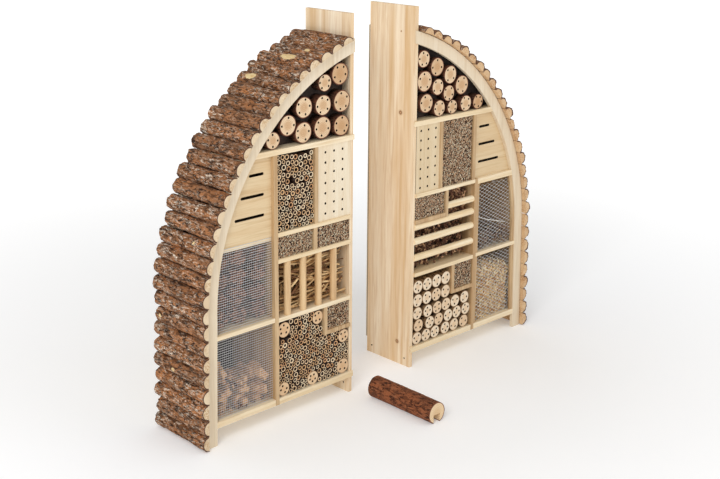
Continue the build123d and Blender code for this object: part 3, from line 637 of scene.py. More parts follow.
def relief_tree():
    """Raises bark out of a smooth surface: long ridges, then flakes on them."""
    tree, given, out = node_tree("bark_relief", {
        "Ridge Height": float, "Ridge Scale": float, "Flake Height": float, "Flake Scale": float,
        "Material": bpy.types.Material, "Sawn Material": bpy.types.Material})
    where = put(tree, "GeometryNodeInputPosition").outputs[0]
    drawn = put(tree, "ShaderNodeVectorMath", {0: where, 1: (1.0, BARK_DRAWN, 1.0)},
                operation="MULTIPLY").outputs[0]
    ridges = cloud(tree, drawn, given.outputs["Ridge Scale"], 3.0, 0.55, 0.5)
    flakes = cloud(tree, drawn, given.outputs["Flake Scale"], 2.0, 0.6, 0.8)
    ridge = span(tree, ridges, 0.3, 0.7, -1.0, 1.0)
    flake = span(tree, flakes, 0.4, 0.6, -1.0, 1.0)
    rise = added(tree, multiplied(tree, ridge, given.outputs["Ridge Height"]),
                 multiplied(tree, flake, given.outputs["Flake Height"]))
    rise = multiplied(tree, rise, own(tree, "bark", "FLOAT"))
    normal = put(tree, "GeometryNodeInputNormal").outputs[0]
    raised = put(tree, "GeometryNodeSetPosition", {
        "Geometry": given.outputs["Mesh"], "Offset": scaled(tree, normal, rise)})
    stored = put(tree, "GeometryNodeStoreNamedAttribute", {
        "Geometry": raised.outputs["Geometry"], "Name": "relief", "Value": flake},
        data_type="FLOAT", domain="POINT")
    return finish_tree(tree, given, out, stored.outputs["Geometry"], sawn=True)


BARK_DRAWN = 0.35          # how little the bark's relief changes along the wood
bark_relief = relief_tree()


def attribute(tree, name, output="Fac"):
    """What a piece's mesh carries under a name."""
    return put(tree, "ShaderNodeAttribute", attribute_name=name).outputs[output]


def bark_finish(name, dark, brown, red, flake, flake_share):
    """Pine bark: dark in its cracks, red-brown between them, with pale weathered flakes."""
    material, tree, shader, place = new_finish(name, 0.85)
    shader.inputs["Specular IOR Level"].default_value = 0.2
    run = stretched(tree, place, (1, 0.3, 1))
    patches = span(tree, cloud(tree, run, 40.0, 3.0, 0.6), 0.38, 0.6)
    colour = blended(tree, patches, brown, red)
    colour = blended(tree, multiplied(tree, attribute(tree, "tone"), 0.25), colour, dark)
    cracks = cloud(tree, run, 130.0, 5.0, 0.7, 1.6)
    colour = blended(tree, span(tree, cracks, 0.51, 0.42, 0, 0.97), colour, dark)
    scales = cloud(tree, run, 210.0, 5.0, 0.8, 1.0)
    weathered = added(tree, multiplied(tree, attribute(tree, "lot"), 0.22),
                      cloud(tree, run, 24.0, 2.0))
    pale_zone = span(tree, weathered, 0.42, 0.66, 0.2, 1.0)
    pale = multiplied(tree, span(tree, scales, 0.53, 0.6, 0, flake_share), pale_zone)
    colour = blended(tree, pale, colour, flake)
    # Painted shade where the bark's relief sinks between the flakes.
    sunk_bark_shade = span(tree, attribute(tree, "relief"), -0.1, -0.9, 0, 0.6)
    colour = blended(tree, sunk_bark_shade, colour, dark)
    ragged = added(tree, attribute(tree, "peeled"), multiplied(tree, cracks, 0.6))
    under_bark = blended(tree, span(tree, scales, 0.35, 0.7), tint(246, 226, 176),
                         tint(222, 178, 116))
    colour = blended(tree, span(tree, ragged, 0.72, 0.82), colour, under_bark)
    paint(tree, shader, colour, added(tree, cracks, scales), 0.9, 0.0025)
    return material


def sawn_finish(name, pale, ring, rind):
    """Rough-sawn wood with faint growth lines, and the bark's thickness along its rim."""
    material, tree, shader, place = new_finish(name, 0.75)
    grain = cloud(tree, place, 260.0, 3.0, 0.6)
    blotch = span(tree, cloud(tree, place, 30.0, 2.0), 0.35, 0.65)
    colour = blended(tree, blotch, pale, blended(tree, span(tree, grain, 0.4, 0.6), pale, ring))
    colour = blended(tree, multiplied(tree, attribute(tree, "tone"), 0.3), colour, ring)
    colour = blended(tree, span(tree, attribute(tree, "bark"), 0.15, 0.3), colour, rind)
    paint(tree, shader, colour, grain)
    return material


SLAB_LENGTH = 180 * MM
SLAB_THICKNESS = 17.5 * MM
SLAB_BULGE = 0.92          # under 1, the slab is a little fuller than a half ellipse
SLAB_RIND = 0.8            # how far out the sawn wood of an end reaches, inside its bark
SLAB_AROUND = 22
SLAB_ALONG = 84
slab_bark = bark_finish("pine_bark", tint(46, 26, 16), tint(158, 112, 78), tint(192, 128, 80),
                        tint(240, 226, 206), 0.95)


def slab_pattern():
    """One half-round slab a metre wide, so that a slab's size scales it."""
    section = []
    for step in range(SLAB_AROUND + 1):
        angle = math.pi * step / SLAB_AROUND
        section.append((0.5 * math.cos(angle), SLAB_THICKNESS * math.sin(angle) ** SLAB_BULGE))
    flags = [0] + [1] * (SLAB_AROUND - 1) + [0]
    stations = [SLAB_LENGTH * step / SLAB_ALONG for step in range(SLAB_ALONG + 1)]
    return drawn_solid("slab_pattern", section, flags, stations, SLAB_RIND)


def slab_seats(node):
    """Where each slab sits: its front middle, its turn about Y, and its width."""
    seats = []
    for solid in separate_solids(node):
        front = solid[np.abs(solid[:, 1] - solid[:, 1].min()) < 1e-5]
        across = front[:, None, :] - front[None, :, :]
        apart = np.sqrt((across ** 2).sum(axis=2))
        first, second = np.unravel_index(apart.argmax(), apart.shape)
        middle = (front[first] + front[second]) / 2
        outward = front.mean(axis=0) - middle
        seats.append((middle, math.atan2(outward[0], outward[2]), apart.max()))
    return sorted(seats, key=lambda seat: seat[0][2])


def bark_roof(half, seed, scars, slab_wood):
    """The slabs of one half.

    A scar is (slab from the ground, share along, half its length, half its width, its turn
    from the slab's crest).
    """
    chance = random.Random(seed)
    seats = slab_seats(f"{half}_bark_slabs")
    places, turns, sizes = [], [], []
    for middle, turn, width in seats:
        places.append((middle[0], middle[1] + chance.uniform(0, 3) * MM, middle[2]))
        turns.append((0, turn + chance.gauss(0, 0.02), chance.gauss(0, 0.006)))
        sizes.append((width, chance.uniform(0.95, 1.005), chance.uniform(0.78, 1.1)))
    pattern = slab_pattern()
    rough = lay(f"{half}_smooth_slabs", pattern, places, turns, sizes, slab_bark, slab_wood, seed=seed)
    bpy.data.objects.remove(pattern)
    roof = run_tree(bark_relief, f"{half}_bark_roof", rough.data, {
        "Ridge Height": 2.1 * MM, "Ridge Scale": 40.0, "Flake Height": 0.8 * MM,
        "Flake Scale": 150.0, "Material": slab_bark, "Sawn Material": slab_wood})
    bpy.data.objects.remove(rough)
    corners = np.zeros(len(roof.data.vertices) * 3)
    roof.data.vertices.foreach_get("co", corners)
    corners = corners.reshape(-1, 3)
    peeled = np.zeros(len(corners))
    for slab, share, long, wide, lean in scars:
        middle, turn, _ = seats[slab]
        centre = (middle[0] + SLAB_THICKNESS * math.sin(turn + lean),
                  middle[1] + share * SLAB_LENGTH,
                  middle[2] + SLAB_THICKNESS * math.cos(turn + lean))
        off = corners - centre
        reach = np.sqrt((off[:, 1] / long) ** 2 + (off[:, 0] ** 2 + off[:, 2] ** 2) / wide ** 2)
        peeled = np.maximum(peeled, np.clip(SCAR_FADE - reach, 0, 1))
    held = roof.data.attributes.new("peeled", "FLOAT", "POINT")
    held.data.foreach_set("value", peeled)
    hang(roof, f"{half}_half", "bark", f"{half}_bark_slabs")


SCAR_FADE = 1.6            # the bark is whole this many half lengths from a scar's middle
LEFT_SCARS = ((26, 0.32, 9 * MM, 5 * MM, 0.0), (25, 0.45, 22 * MM, 8 * MM, 0.0),
              (23, 0.78, 16 * MM, 9 * MM, 0.0), (12, 0.33, 4 * MM, 4 * MM, 0.3),
              (7, 0.88, 5 * MM, 5 * MM, 0.0), (4, 0.62, 5 * MM, 5 * MM, -0.2))
RIGHT_SCARS = ((9, 0.5, 12 * MM, 6 * MM, 0.0), (18, 0.6, 18 * MM, 7 * MM, 0.0))
bark_roof("left", 3, LEFT_SCARS, sawn_finish(
    "left_sawn_slab_wood", tint(226, 206, 174), tint(190, 154, 112), tint(84, 52, 34)))
# The right half's sawn ends take a darker copy of the left's sawn wood: painted shade, as they lie more
# in shade.
bark_roof("right", 5, RIGHT_SCARS, sawn_finish(
    "right_sawn_slab_wood_shaded", tint(222, 190, 148), tint(178, 130, 84), tint(84, 52, 34)))


# ---- Branch slices ------------------------------------------------------------------------
# Short lengths of branch with nesting holes drilled in their front ends: ten or twelve with
# red-brown bark in each crown, and paler, thinner ones among the tubes lower down.
def slice_finish(name, pale, ring, heart, bark, deep=None):
    """End grain with rings about the heart, and a rim of bark. Painted shade darkens its drilled holes.
    """
    material, tree, shader, place = new_finish(name, 0.7)
    heart_way = attribute(tree, "from_heart", "Vector")
    across = put(tree, "ShaderNodeVectorMath", {0: heart_way}, operation="LENGTH").outputs["Value"]
    wobble = cloud(tree, place, 70.0, 2.0)
    warped = added(tree, across, multiplied(tree, wobble, 0.22))
    rings = put(tree, "ShaderNodeMath", {0: multiplied(tree, warped, RING_WAVES)},
                operation="SINE").outputs[0]
    colour = blended(tree, span(tree, rings, -0.2, 1.0, 0, 0.5), pale, ring)
    colour = blended(tree, span(tree, across, 0.62, 0.3, 0, 0.55), colour, heart)
    colour = blended(tree, multiplied(tree, attribute(tree, "tone"), 0.7), colour, heart)
    grain = cloud(tree, place, FINE_GRAIN, 3.0, 0.65)
    colour = blended(tree, span(tree, grain, 0.55, 0.72, 0, 0.5), colour, ring)
    around = put(tree, "ShaderNodeVectorMath", {0: heart_way}, operation="NORMALIZE").outputs[0]
    checks = cloud(tree, around, 5.0, 4.0, 0.8)
    colour = blended(tree, span(tree, checks, 0.66, 0.72, 0, 0.5), colour, ring)
    colour = blended(tree, span(tree, across, 0.9, 0.935), colour, bark)
    if deep is not None:
        colour = deep_shade(tree, place, colour, deep)
    paint(tree, shader, colour, grain)
    return material


def branch_slices(half, where, face_finish, bark_material, seed):
    """The slices of one bay, made a little out of round, each with its own tone."""
    name, node = f"{half}_{where}_branches", f"{half}_{where}_slices"
    chance = random.Random(seed)
    merged = welded(node)
    way = merged.verts.layers.float_vector.new("from_heart")
    tone = merged.verts.layers.float.new("tone")
    for group in joined_corners(merged):
        low = [min(c.co[axis] for c in group) for axis in range(3)]
        high = [max(c.co[axis] for c in group) for axis in range(3)]
        centre = Vector(((low[0] + high[0]) / 2, low[1], (low[2] + high[2]) / 2))
        radius = (high[0] - low[0]) / 2
        own_tone = chance.random() ** 2
        lobes = [(count, chance.uniform(*LOBE_DEPTH), chance.uniform(0, 6.28))
                 for count in (2, 3, 5)]
        for corner in group:
            off = corner.co - centre
            reach = math.hypot(off.x, off.z) / radius
            corner[way] = (off.x / radius, 0.0, off.z / radius)
            corner[tone] = own_tone
            if reach > ROUND_FROM:
                angle = math.atan2(off.z, off.x)
                dent = sum(deep * (math.sin(count * angle + start_at) - 1) / 2
                           for count, deep, start_at in lobes)
                corner.co.x += off.x * dent
                corner.co.z += off.z * dent
    for face in merged.faces:
        on_rim = all(math.hypot(c[way][0], c[way][2]) > BARK_FROM for c in face.verts)
        face.material_index = 1 if on_rim else 0
        face.smooth = on_rim
    mesh = bpy.data.meshes.new(name)
    merged.to_mesh(mesh)
    merged.free()
    mesh.materials.append(face_finish)
    mesh.materials.append(bark_material)
    hang(link_object(name, mesh), f"{half}_half", "branch_slice", node)


RING_WAVES = 44.0          # seven growth rings from the heart to the bark
LOBE_DEPTH = (0.008, 0.02)
ROUND_FROM = 0.97          # shares of a slice's radius
BARK_FROM = 0.95
slice_bark = bark_finish("slice_bark", tint(40, 26, 20), tint(92, 58, 42), tint(118, 70, 48),
                         tint(150, 118, 92), 0.5)
slice_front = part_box("left_crown_slices")[0].y + 0.3 * MM
crown_face = slice_finish("crown_slice_wood", tint(236, 210, 174), tint(176, 134, 94),
                          tint(186, 138, 88), tint(112, 62, 40), slice_front)
pale_face = slice_finish("pale_slice_wood", tint(240, 224, 198), tint(216, 186, 150),
                         tint(220, 184, 142), tint(196, 164, 130), slice_front)
rosy_face = slice_finish("rosy_slice_wood", tint(232, 204, 166), tint(210, 172, 132),
                         tint(212, 168, 122), tint(206, 170, 132), slice_front)
pale_bark = bark_finish("pale_slice_bark", tint(54, 38, 26), tint(150, 118, 84), tint(170, 132, 92),
                        tint(196, 170, 136), 0.6)
branch_slices("left", "crown", crown_face, slice_bark, 2)
branch_slices("right", "crown", crown_face, slice_bark, 4)
branch_slices("left", "lower", rosy_face, slice_bark, 6)
branch_slices("right", "lower", pale_face, pale_bark, 8)


# ---- Bamboo tubes -------------------------------------------------------------------------
# Lengths of bamboo laid side by side in two cells of the left half, open in front. Each end
# is a cream ring round a bore with painted shade on its walls, and a few are blocked by a node of the
# cane.
TUBE_LENGTH = 146 * MM
TUBE_SIDES = 12
OPEN_BORE, OPEN_DEPTH = 0.6, 30 * MM
SHUT_BORE, SHUT_DEPTH = 0.5, 2.5 * MM
SHUT_SHARE = 0.1           # how many of the tubes are blocked
POLE = 0.001               # a ring too small to see, which closes a bore's bottom


def turned_shape(name, rings, sides, sawn_rings):
    """A shape turned about Y: rings of (along, radius), closed at both ends."""
    points = []
    for along, radius in rings:
        for side in range(sides):
            angle = 2 * math.pi * side / sides
            points.append((radius * math.cos(angle), along, radius * math.sin(angle)))
    sawn = [ring * sides + side for ring in sawn_rings for side in range(sides)]
    return shape_object(name, points, closed_bands(len(rings), sides), sawn)


def tube_shape(name, bore, depth):
    """A tube of radius 1 and bore, open in front as far as depth."""
    rings = [(depth, POLE), (depth, bore), (0.5 * MM, bore), (0.0, bore + 0.05), (0.0, 0.88),
             (0.5 * MM, 1.0), (TUBE_LENGTH, 1.0)]
    return turned_shape(name, rings, TUBE_SIDES, (2, 3))


# The dark brown is the cane's skin on the sides, and painted shade on the walls and bottom of each
# bore.
outside_and_bore_shade, tree, shader, place = new_finish("cane_outside_and_bore_shade", 0.5)
streak = cloud(tree, stretched(tree, place, (1, 0.1, 1)), 500.0, 3.0)
colour = blended(tree, span(tree, streak, 0.35, 0.65), tint(78, 46, 26), tint(38, 23, 14))
colour = blended(tree, multiplied(tree, attribute(tree, "tone"), 0.6), colour, tint(30, 22, 16))
paint(tree, shader, colour, streak, 0.3, 0.0004)

rim, tree, shader, place = new_finish("cane_rim", 0.6)
fibre = cloud(tree, place, 900.0, 2.0, 0.6)
colour = blended(tree, attribute(tree, "tone"), tint(252, 228, 190), tint(226, 180, 126))
colour = blended(tree, span(tree, attribute(tree, "lot"), 0.8, 0.85), colour, tint(246, 226, 190))
colour = blended(tree, span(tree, attribute(tree, "lot"), 0.15, 0.1), colour, tint(222, 170, 120))
colour = blended(tree, span(tree, fibre, 0.45, 0.7, 0, 0.5), colour, tint(160, 112, 70))
paint(tree, shader, colour, fibre, 0.4, 0.0004)


def bamboo(where, seed):
    """The tubes of one cell: the open ones as one piece, the blocked ones as another."""
    node = f"left_{where}_bamboo"
    chance = random.Random(seed)
    seats = {"open": [], "shut": []}
    for solid in separate_solids(node):
        low, high = extent(solid)
        seat = ((low[0] + high[0]) / 2, low[1], (low[2] + high[2]) / 2, (high[0] - low[0]) / 2)
        seats["shut" if chance.random() < SHUT_SHARE else "open"].append(seat)
    for part, bore, depth in (("open", OPEN_BORE, OPEN_DEPTH), ("shut", SHUT_BORE, SHUT_DEPTH)):
        shape = tube_shape(f"{part}_tube", bore, depth)
        places = [seat[:3] for seat in seats[part]]
        turns = [(0, chance.uniform(0, 3), 0) for _ in places]
        sizes = [(radius, 1, radius) for _, _, _, radius in seats[part]]
        piece = lay(f"left_{where}_tubes_{part}", shape, places, turns, sizes, outside_and_bore_shade, rim, seed)
        hang(piece, "left_half", "bamboo", node)
        bpy.data.objects.remove(shape)


bamboo("upper", 21)
bamboo("lower", 22)


# ---- Reeds --------------------------------------------------------------------------------
# Cells packed tight with thin reeds of mixed colour, cut level in front. Some are hollow, with
# painted shade in the middle, and some stand a little proud.
REED_R = 1.75 * MM
REED_SIDES = 6
REED_SHOWN = 24 * MM
REED_PITCH = 2.02 * REED_R
REED_EDGE = 1.05 * REED_R  # from a cell's wall to the middle of the nearest reed
REED_RISE = 1.76 * REED_R  # from one staggered row to the next, before they are evened out
REED_STRAY = 0.45 * MM
REED_PROUD = 2.2           # how far the reeds' ends differ, in millimetres

reed_wood, tree, shader, place = new_finish("reed_wood", 0.65)
tone, lot = attribute(tree, "tone"), attribute(tree, "lot")
colour = blended(tree, tone, tint(255, 240, 208), tint(196, 146, 98))
colour = blended(tree, span(tree, lot, 0.52, 0.62), colour, tint(222, 178, 140))
colour = blended(tree, span(tree, lot, 0.84, 0.88), colour, tint(96, 64, 42))
pores = span(tree, cloud(tree, place, 1200.0, 2.0), 0.5, 0.8, 0, 0.6)
colour = blended(tree, pores, colour, tint(120, 84, 56))
paint(tree, shader, colour, cloud(tree, place, 1500.0), 0.4, 0.0003)

# Painted shade: the dark of the reeds' bores and sides, and of the packed core behind them.
reed_painted_shade, tree, shader, place = new_finish("reed_shade", 0.8)
colour = blended(tree, span(tree, cloud(tree, place, 400.0), 0.3, 0.7), tint(22, 15, 11),
                 tint(52, 36, 25))
paint(tree, shader, colour)


def reed_shape():
    """A thin reed of radius 1 with a shallow bore; its sawn face takes the reed's own wood."""
    rings = [(4 * MM, POLE), (4 * MM, 0.4), (0.0, 0.46), (0.0, 0.88), (0.4 * MM, 1.0),
             (REED_SHOWN, 1.0)]
    return turned_shape("reed", rings, REED_SIDES, (2, 3))


def reeds(half, seed):
    """Reeds stacked in staggered rows through every cell of a half."""
    node = f"{half}_reeds"
    shape = reed_shape()
    chance = random.Random(seed)
    places, sizes = [], []
    for solid in separate_solids(node):
        low, high = extent(solid)
        wide, tall = high[0] - low[0], high[2] - low[2]
        rows = int((tall - 2 * REED_R) / REED_RISE) + 1
        rise = (tall - 2 * REED_EDGE) / (rows - 1)
        for row in range(rows):
            shift = REED_R * (row % 2)
            count = int((wide - 2.2 * REED_R - shift) / REED_PITCH) + 1
            for step in range(count):
                x = low[0] + REED_EDGE + shift + step * REED_PITCH
                z = low[2] + REED_EDGE + row * rise
                places.append((x, low[1] + chance.uniform(0, REED_PROUD) * MM, z))
                radius = REED_R * chance.uniform(0.66, 1.04)
                sizes.append((radius, 1, radius))
    piece = lay(f"{half}_reed_ends", shape, places, None, sizes, reed_painted_shade, reed_wood, seed,
                jitter=(REED_STRAY, 0, REED_STRAY))
    bpy.data.objects.remove(shape)
    hang(piece, f"{half}_half", "reed", node)


def packed_core(name, body, node, material, slot, inset):
    """The hidden part of a packed cell: a plain block behind the pieces that show."""
    made = bmesh.new()
    for solid in separate_solids(node):
        low, high = extent(solid)
        low = low + (0, inset, 0)
        block = bmesh.ops.create_cube(made, size=1.0)["verts"]
        for corner in block:
            for axis in range(3):
                corner.co[axis] = high[axis] if corner.co[axis] > 0 else low[axis]
    bmesh.ops.subdivide_edges(made, edges=made.edges, cuts=5, use_grid_fill=True)
    mesh = bpy.data.meshes.new(name)
    made.to_mesh(mesh)
    made.free()
    mesh.materials.append(material)
    hang(link_object(name, mesh), body, slot, node)


reeds("left", 31)
reeds("right", 32)
for half in ("left", "right"):
    packed_core(f"{half}_reed_core", f"{half}_half", f"{half}_reeds", reed_painted_shade, "reed", REED_SHOWN)


# ---- Twig stack ---------------------------------------------------------------------------
# Peeled and unpeeled twigs laid across the cell behind the four dowels, loosely, with deep
# gaps between them in painted shade.
TWIG_SIDES = 6
TWIG_STATIONS = 5
TWIG_TAPER = 0.3
ANY_TURN = 6.3             # a little over a full turn, in radians


def twig_shape(name, bend):
    """A crooked twig of length 1 along X and radius 1, cut off square at both ends."""
    points = []
    for step in range(TWIG_STATIONS):
        share = step / (TWIG_STATIONS - 1)
        lift = bend * math.sin(math.pi * share * 1.3)
        thick = 1.0 - TWIG_TAPER * share
        for side in range(TWIG_SIDES):
            angle = 2 * math.pi * side / TWIG_SIDES
            points.append((share - 0.5, thick * math.cos(angle) + lift,
                           thick * math.sin(angle) - lift))
    faces = closed_bands(TWIG_STATIONS, TWIG_SIDES)
    return shape_object(name, points, faces, (len(faces) - 2, len(faces) - 1))


def scatter_in(boxes, count, chance):
    """Random points in the boxes, each given as (lowest corner, highest corner)."""
    places = []
    for low, high in boxes:
        for _ in range(count):
            places.append(tuple(chance.uniform(low[axis], high[axis]) for axis in range(3)))
    return places


def mottled_finish(name, first, second, third, scale=260.0):
    """Small loose pieces: each has its own mix of three colours, and fine streaks."""
    material, tree, shader, place = new_finish(name, 0.75)
    colour = blended(tree, attribute(tree, "tone"), first, second)
    colour = blended(tree, span(tree, attribute(tree, "lot"), 0.68, 0.78), colour, third)
    streaks = cloud(tree, place, scale, 4.0, 0.65)
    colour = blended(tree, span(tree, streaks, 0.5, 0.72, 0, 0.6), colour, third)
    paint(tree, shader, colour, streaks, 0.5, 0.0008)
    return material


twig_bark = mottled_finish("twig_bark", tint(250, 218, 164), tint(210, 164, 106), tint(122, 82, 48))
twig_cut = mottled_finish("twig_cut", tint(240, 214, 168), tint(222, 186, 132), tint(196, 152, 100))
# Painted shade: a dark block behind loose pieces stands in for the shade between them.
gap_shade, tree, shader, place = new_finish("gap_shade", 0.9)
paint(tree, shader, blended(tree, cloud(tree, place, 120.0), tint(34, 24, 18), tint(62, 44, 32)))

TWIG_REACH = 22 * MM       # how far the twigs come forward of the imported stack
TWIG_DEEP = 30 * MM
LONG_TWIGS = 300
TWIG_HALVES = (24, 44)     # half a twig's length, in millimetres
TWIG_THICK = (1.6, 3.0)
STEEPEST = 0.7
STUBS = 44                 # short twigs that stand upright among the others
STUB_HALVES = (12, 20)
STUB_THICK = (1.5, 2.4)
chance = random.Random(41)
low, high = extent(separate_solids("left_twig_stack")[0])
twig = twig_shape("twig", 0.8)
places, turns, sizes = [], [], []
for _ in range(LONG_TWIGS):
    half_length = chance.uniform(*TWIG_HALVES) * MM
    places.append((chance.uniform(low[0] + half_length, high[0] - half_length + 2 * MM),
                   chance.uniform(low[1] - TWIG_REACH, low[1] + TWIG_DEEP),
                   chance.uniform(low[2] + 5 * MM, high[2] + 2 * MM)))
    room = min(high[2] - places[-1][2], places[-1][2] - low[2])
    steep = max(min(STEEPEST, STEEPEST * room / half_length), 0.05)
    turns.append((chance.uniform(0, ANY_TURN), chance.uniform(-1, 1) * steep,
                  chance.gauss(0, 0.10)))
    thick = chance.uniform(*TWIG_THICK) * MM
    sizes.append((2 * half_length, thick, thick))
for _ in range(STUBS):
    half_length = chance.uniform(*STUB_HALVES) * MM
    places.append((chance.uniform(low[0] + 5 * MM, high[0] - 5 * MM),
                   chance.uniform(low[1] - TWIG_REACH + 8 * MM, low[1] + TWIG_DEEP),
                   chance.uniform(low[2] + half_length, high[2] - half_length)))
    turns.append((chance.uniform(0, ANY_TURN), math.pi / 2 + chance.gauss(0, 0.4), 0))
    thick = chance.uniform(*STUB_THICK) * MM
    sizes.append((2 * half_length, thick, thick))
pile = lay("left_twigs_laid", twig, places, turns, sizes, twig_bark, twig_cut, 41)
bpy.data.objects.remove(twig)
hang(pile, "left_half", "twig", "left_twig_stack")
packed_core("left_twig_core", "left_half", "left_twig_stack", gap_shade, "twig", TWIG_DEEP)


# ---- Bark chips ---------------------------------------------------------------------------
# Dark flakes of bark and a few pale splinters fill the cell behind the right half's bars. They
# lie at all angles in front of a packed core in painted shade.
def chip_shape():
    """A thin five-sided flake, one unit across, a little cupped."""
    around = [(0.5, 0.0), (0.18, 0.42), (-0.4, 0.3), (-0.46, -0.22), (0.1, -0.45)]
    points = [(x, -0.12 + 0.2 * x * x, z) for x, z in around]
    points += [(x * 0.8, 0.12 + 0.2 * x * x, z * 0.8) for x, z in around]
    count = len(around)
    faces = [tuple(range(count)), tuple(range(2 * count - 1, count - 1, -1))]
    for side in range(count):
        after = (side + 1) % count
        faces.append((side, side + count, after + count, after))
    return shape_object("chip", points, [f[::-1] for f in faces], smooth=False)


CHIP_LONG = 1.5            # a chip's length, as a share of its width


def chips(name, body, slot, node, regions, count, size, material, seed):
    """Flat flakes heaped through the regions, so many in each, their size in millimetres."""
    chance = random.Random(seed)
    shape = chip_shape()
    places = scatter_in(regions, count, chance)
    turns = [tuple(chance.uniform(-math.pi, math.pi) for _ in range(3)) for _ in places]
    sizes = [(CHIP_LONG * s, s, s) for s in (chance.uniform(*size) * MM for _ in places)]
    piece = lay(name, shape, places, turns, sizes, material, None, seed)
    bpy.data.objects.remove(shape)
    hang(piece, body, slot, node)


chip_bark = mottled_finish("chip_bark", tint(74, 46, 34), tint(124, 80, 58), tint(214, 172, 132), 180.0)
CHIP_REACH = 16 * MM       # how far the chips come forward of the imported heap
CHIP_DEEP = 14 * MM
CHIP_EDGE = 6 * MM
CHIP_CORE = 12 * MM
CHIPS_PER_REGION = 1150
CHIP_SIZES = (4, 9)
low, high = extent(separate_solids("right_bark_chips")[0])
cell_low, cell_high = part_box("right_reed_cell")
front, back = low[1] - CHIP_REACH, low[1] + CHIP_DEEP
left, right, step_z = low[0] + CHIP_EDGE, high[0] - CHIP_EDGE, cell_low.z - 16 * MM
regions = [((left, front, low[2] + 4 * MM), (right, back, step_z)),
           ((cell_high.x + CHIP_EDGE, front, step_z), (right, back, high[2]))]
chips("right_chips_laid", "right_half", "bark_chip", "right_bark_chips", regions,
      CHIPS_PER_REGION, CHIP_SIZES, chip_bark, 43)
packed_core("right_chip_core", "right_half", "right_bark_chips", gap_shade, "bark_chip", CHIP_CORE)


# ---- Pine cones ---------------------------------------------------------------------------
# Open pine cones behind the left half's upper mesh. Their scales are set in a spiral, each
# with a paler tip.
def cone_scale_shape():
    """One woody scale, thin at its root and thick at its tip, one unit long along X."""
    points = [(0, -0.1, 0), (0, 0.1, 0), (0.7, -0.28, 0.02), (0.7, 0.28, 0.02),
              (1.0, -0.2, 0.16), (1.0, 0.2, 0.16), (0.96, 0, -0.08), (1.02, 0, 0.3)]
    faces = [(2, 3, 1, 0), (4, 5, 3, 2), (6, 2, 0), (1, 6, 0), (3, 6, 1), (6, 4, 2), (5, 6, 3),
             (7, 5, 4), (6, 7, 4), (7, 6, 5)]
    return shape_object("cone_scale", points, faces, (7, 8, 9), smooth=False)


scale_wood = mottled_finish("cone_scale_wood", tint(132, 92, 68), tint(164, 118, 92), tint(84, 56, 42))
scale_tip = mottled_finish("cone_scale_tip", tint(196, 150, 124), tint(168, 122, 98), tint(120, 84, 66))
SCALES = 78
SCALE_ROOT = 0.18          # shares of the cone's radius
SCALE_REACH = 0.8
SCALE_SPREAD = 0.86        # a share of the cone's length
GOLDEN_TURN = math.pi * (3 - math.sqrt(5))
scale_pattern = cone_scale_shape()
places, turns, sizes = [], [], []
for number, solid in enumerate(separate_solids("left_pine_cones")):
    low, high = extent(solid)
    middle = (low + high) / 2
    radius, length = (high[0] - low[0]) / 2, high[1] - low[1]
    tip = -1 if number % 3 else 1
    for step in range(SCALES):
        share = (step + 0.5) / SCALES
        fat = math.sin(math.pi * (0.12 + 0.80 * share)) ** 0.7
        angle = GOLDEN_TURN * step + number
        along = middle[1] - tip * (share - 0.5) * length * SCALE_SPREAD
        root = SCALE_ROOT * radius
        places.append((middle[0] + root * math.cos(angle), along,
                       middle[2] + root * math.sin(angle)))
        turns.append((tip * math.pi / 2, -angle, 0))
        reach = radius * SCALE_REACH * fat
        sizes.append((reach, reach * 1.1, reach * 0.9))
cones = lay("left_cones", scale_pattern, places, turns, sizes, scale_wood, scale_tip, 47)
bpy.data.objects.remove(scale_pattern)
hang(cones, "left_half", "pine_cone", "left_pine_cones")


# ---- Wood chunks --------------------------------------------------------------------------
# Rough chunks of split wood and bark behind the left half's lower mesh, heaped towards the
# leg, with splinters lying on them.
def chunk_tree():
    """Breaks up the faces of plain blocks with coarse and fine splits."""
    tree, given, out = node_tree("split_wood", {
        "Cuts": int, "Coarse": float, "Fine": float, "Material": bpy.types.Material})
    cut = put(tree, "GeometryNodeSubdivideMesh", {
        "Mesh": given.outputs["Mesh"], "Level": given.outputs["Cuts"]})
    where = put(tree, "GeometryNodeInputPosition").outputs[0]
    passed = cut.outputs["Mesh"]
    for scale, label in ((34.0, "Coarse"), (160.0, "Fine")):
        noise = put(tree, "ShaderNodeTexNoise", {
            "Vector": where, "Scale": scale, "Detail": 2.0}).outputs["Color"]
        centred = put(tree, "ShaderNodeVectorMath", {0: noise, 1: (0.5, 0.5, 0.5)},
                      operation="SUBTRACT").outputs[0]
        passed = put(tree, "GeometryNodeSetPosition", {
            "Geometry": passed, "Offset": scaled(tree, centred, given.outputs[label])})
        passed = passed.outputs["Geometry"]
    return finish_tree(tree, given, out, passed)


split_wood = chunk_tree()


def rough_heap(name, blocks, material, coarse, fine, cuts):
    """Blocks, each (lowest, highest, turn, taper), with broken faces, as one piece."""
    made = bmesh.new()
    for low, high, turn, taper in blocks:
        middle = (np.array(low) + np.array(high)) / 2
        corners = bmesh.ops.create_cube(made, size=1.0)["verts"]
        spin = Matrix.Rotation(turn, 3, "Y")
        for corner in corners:
            share = 1 - taper * (corner.co.z + 0.5)
            local = Vector((corner.co.x * (high[0] - low[0]) * share,
                            corner.co.y * (high[1] - low[1]), corner.co.z * (high[2] - low[2])))
            corner.co = Vector(middle) + spin @ local
    mesh = bpy.data.meshes.new(name + "_blocks")
    made.to_mesh(mesh)
    made.free()
    return run_tree(split_wood, name, mesh, {
        "Cuts": cuts, "Coarse": coarse, "Fine": fine, "Material": material})


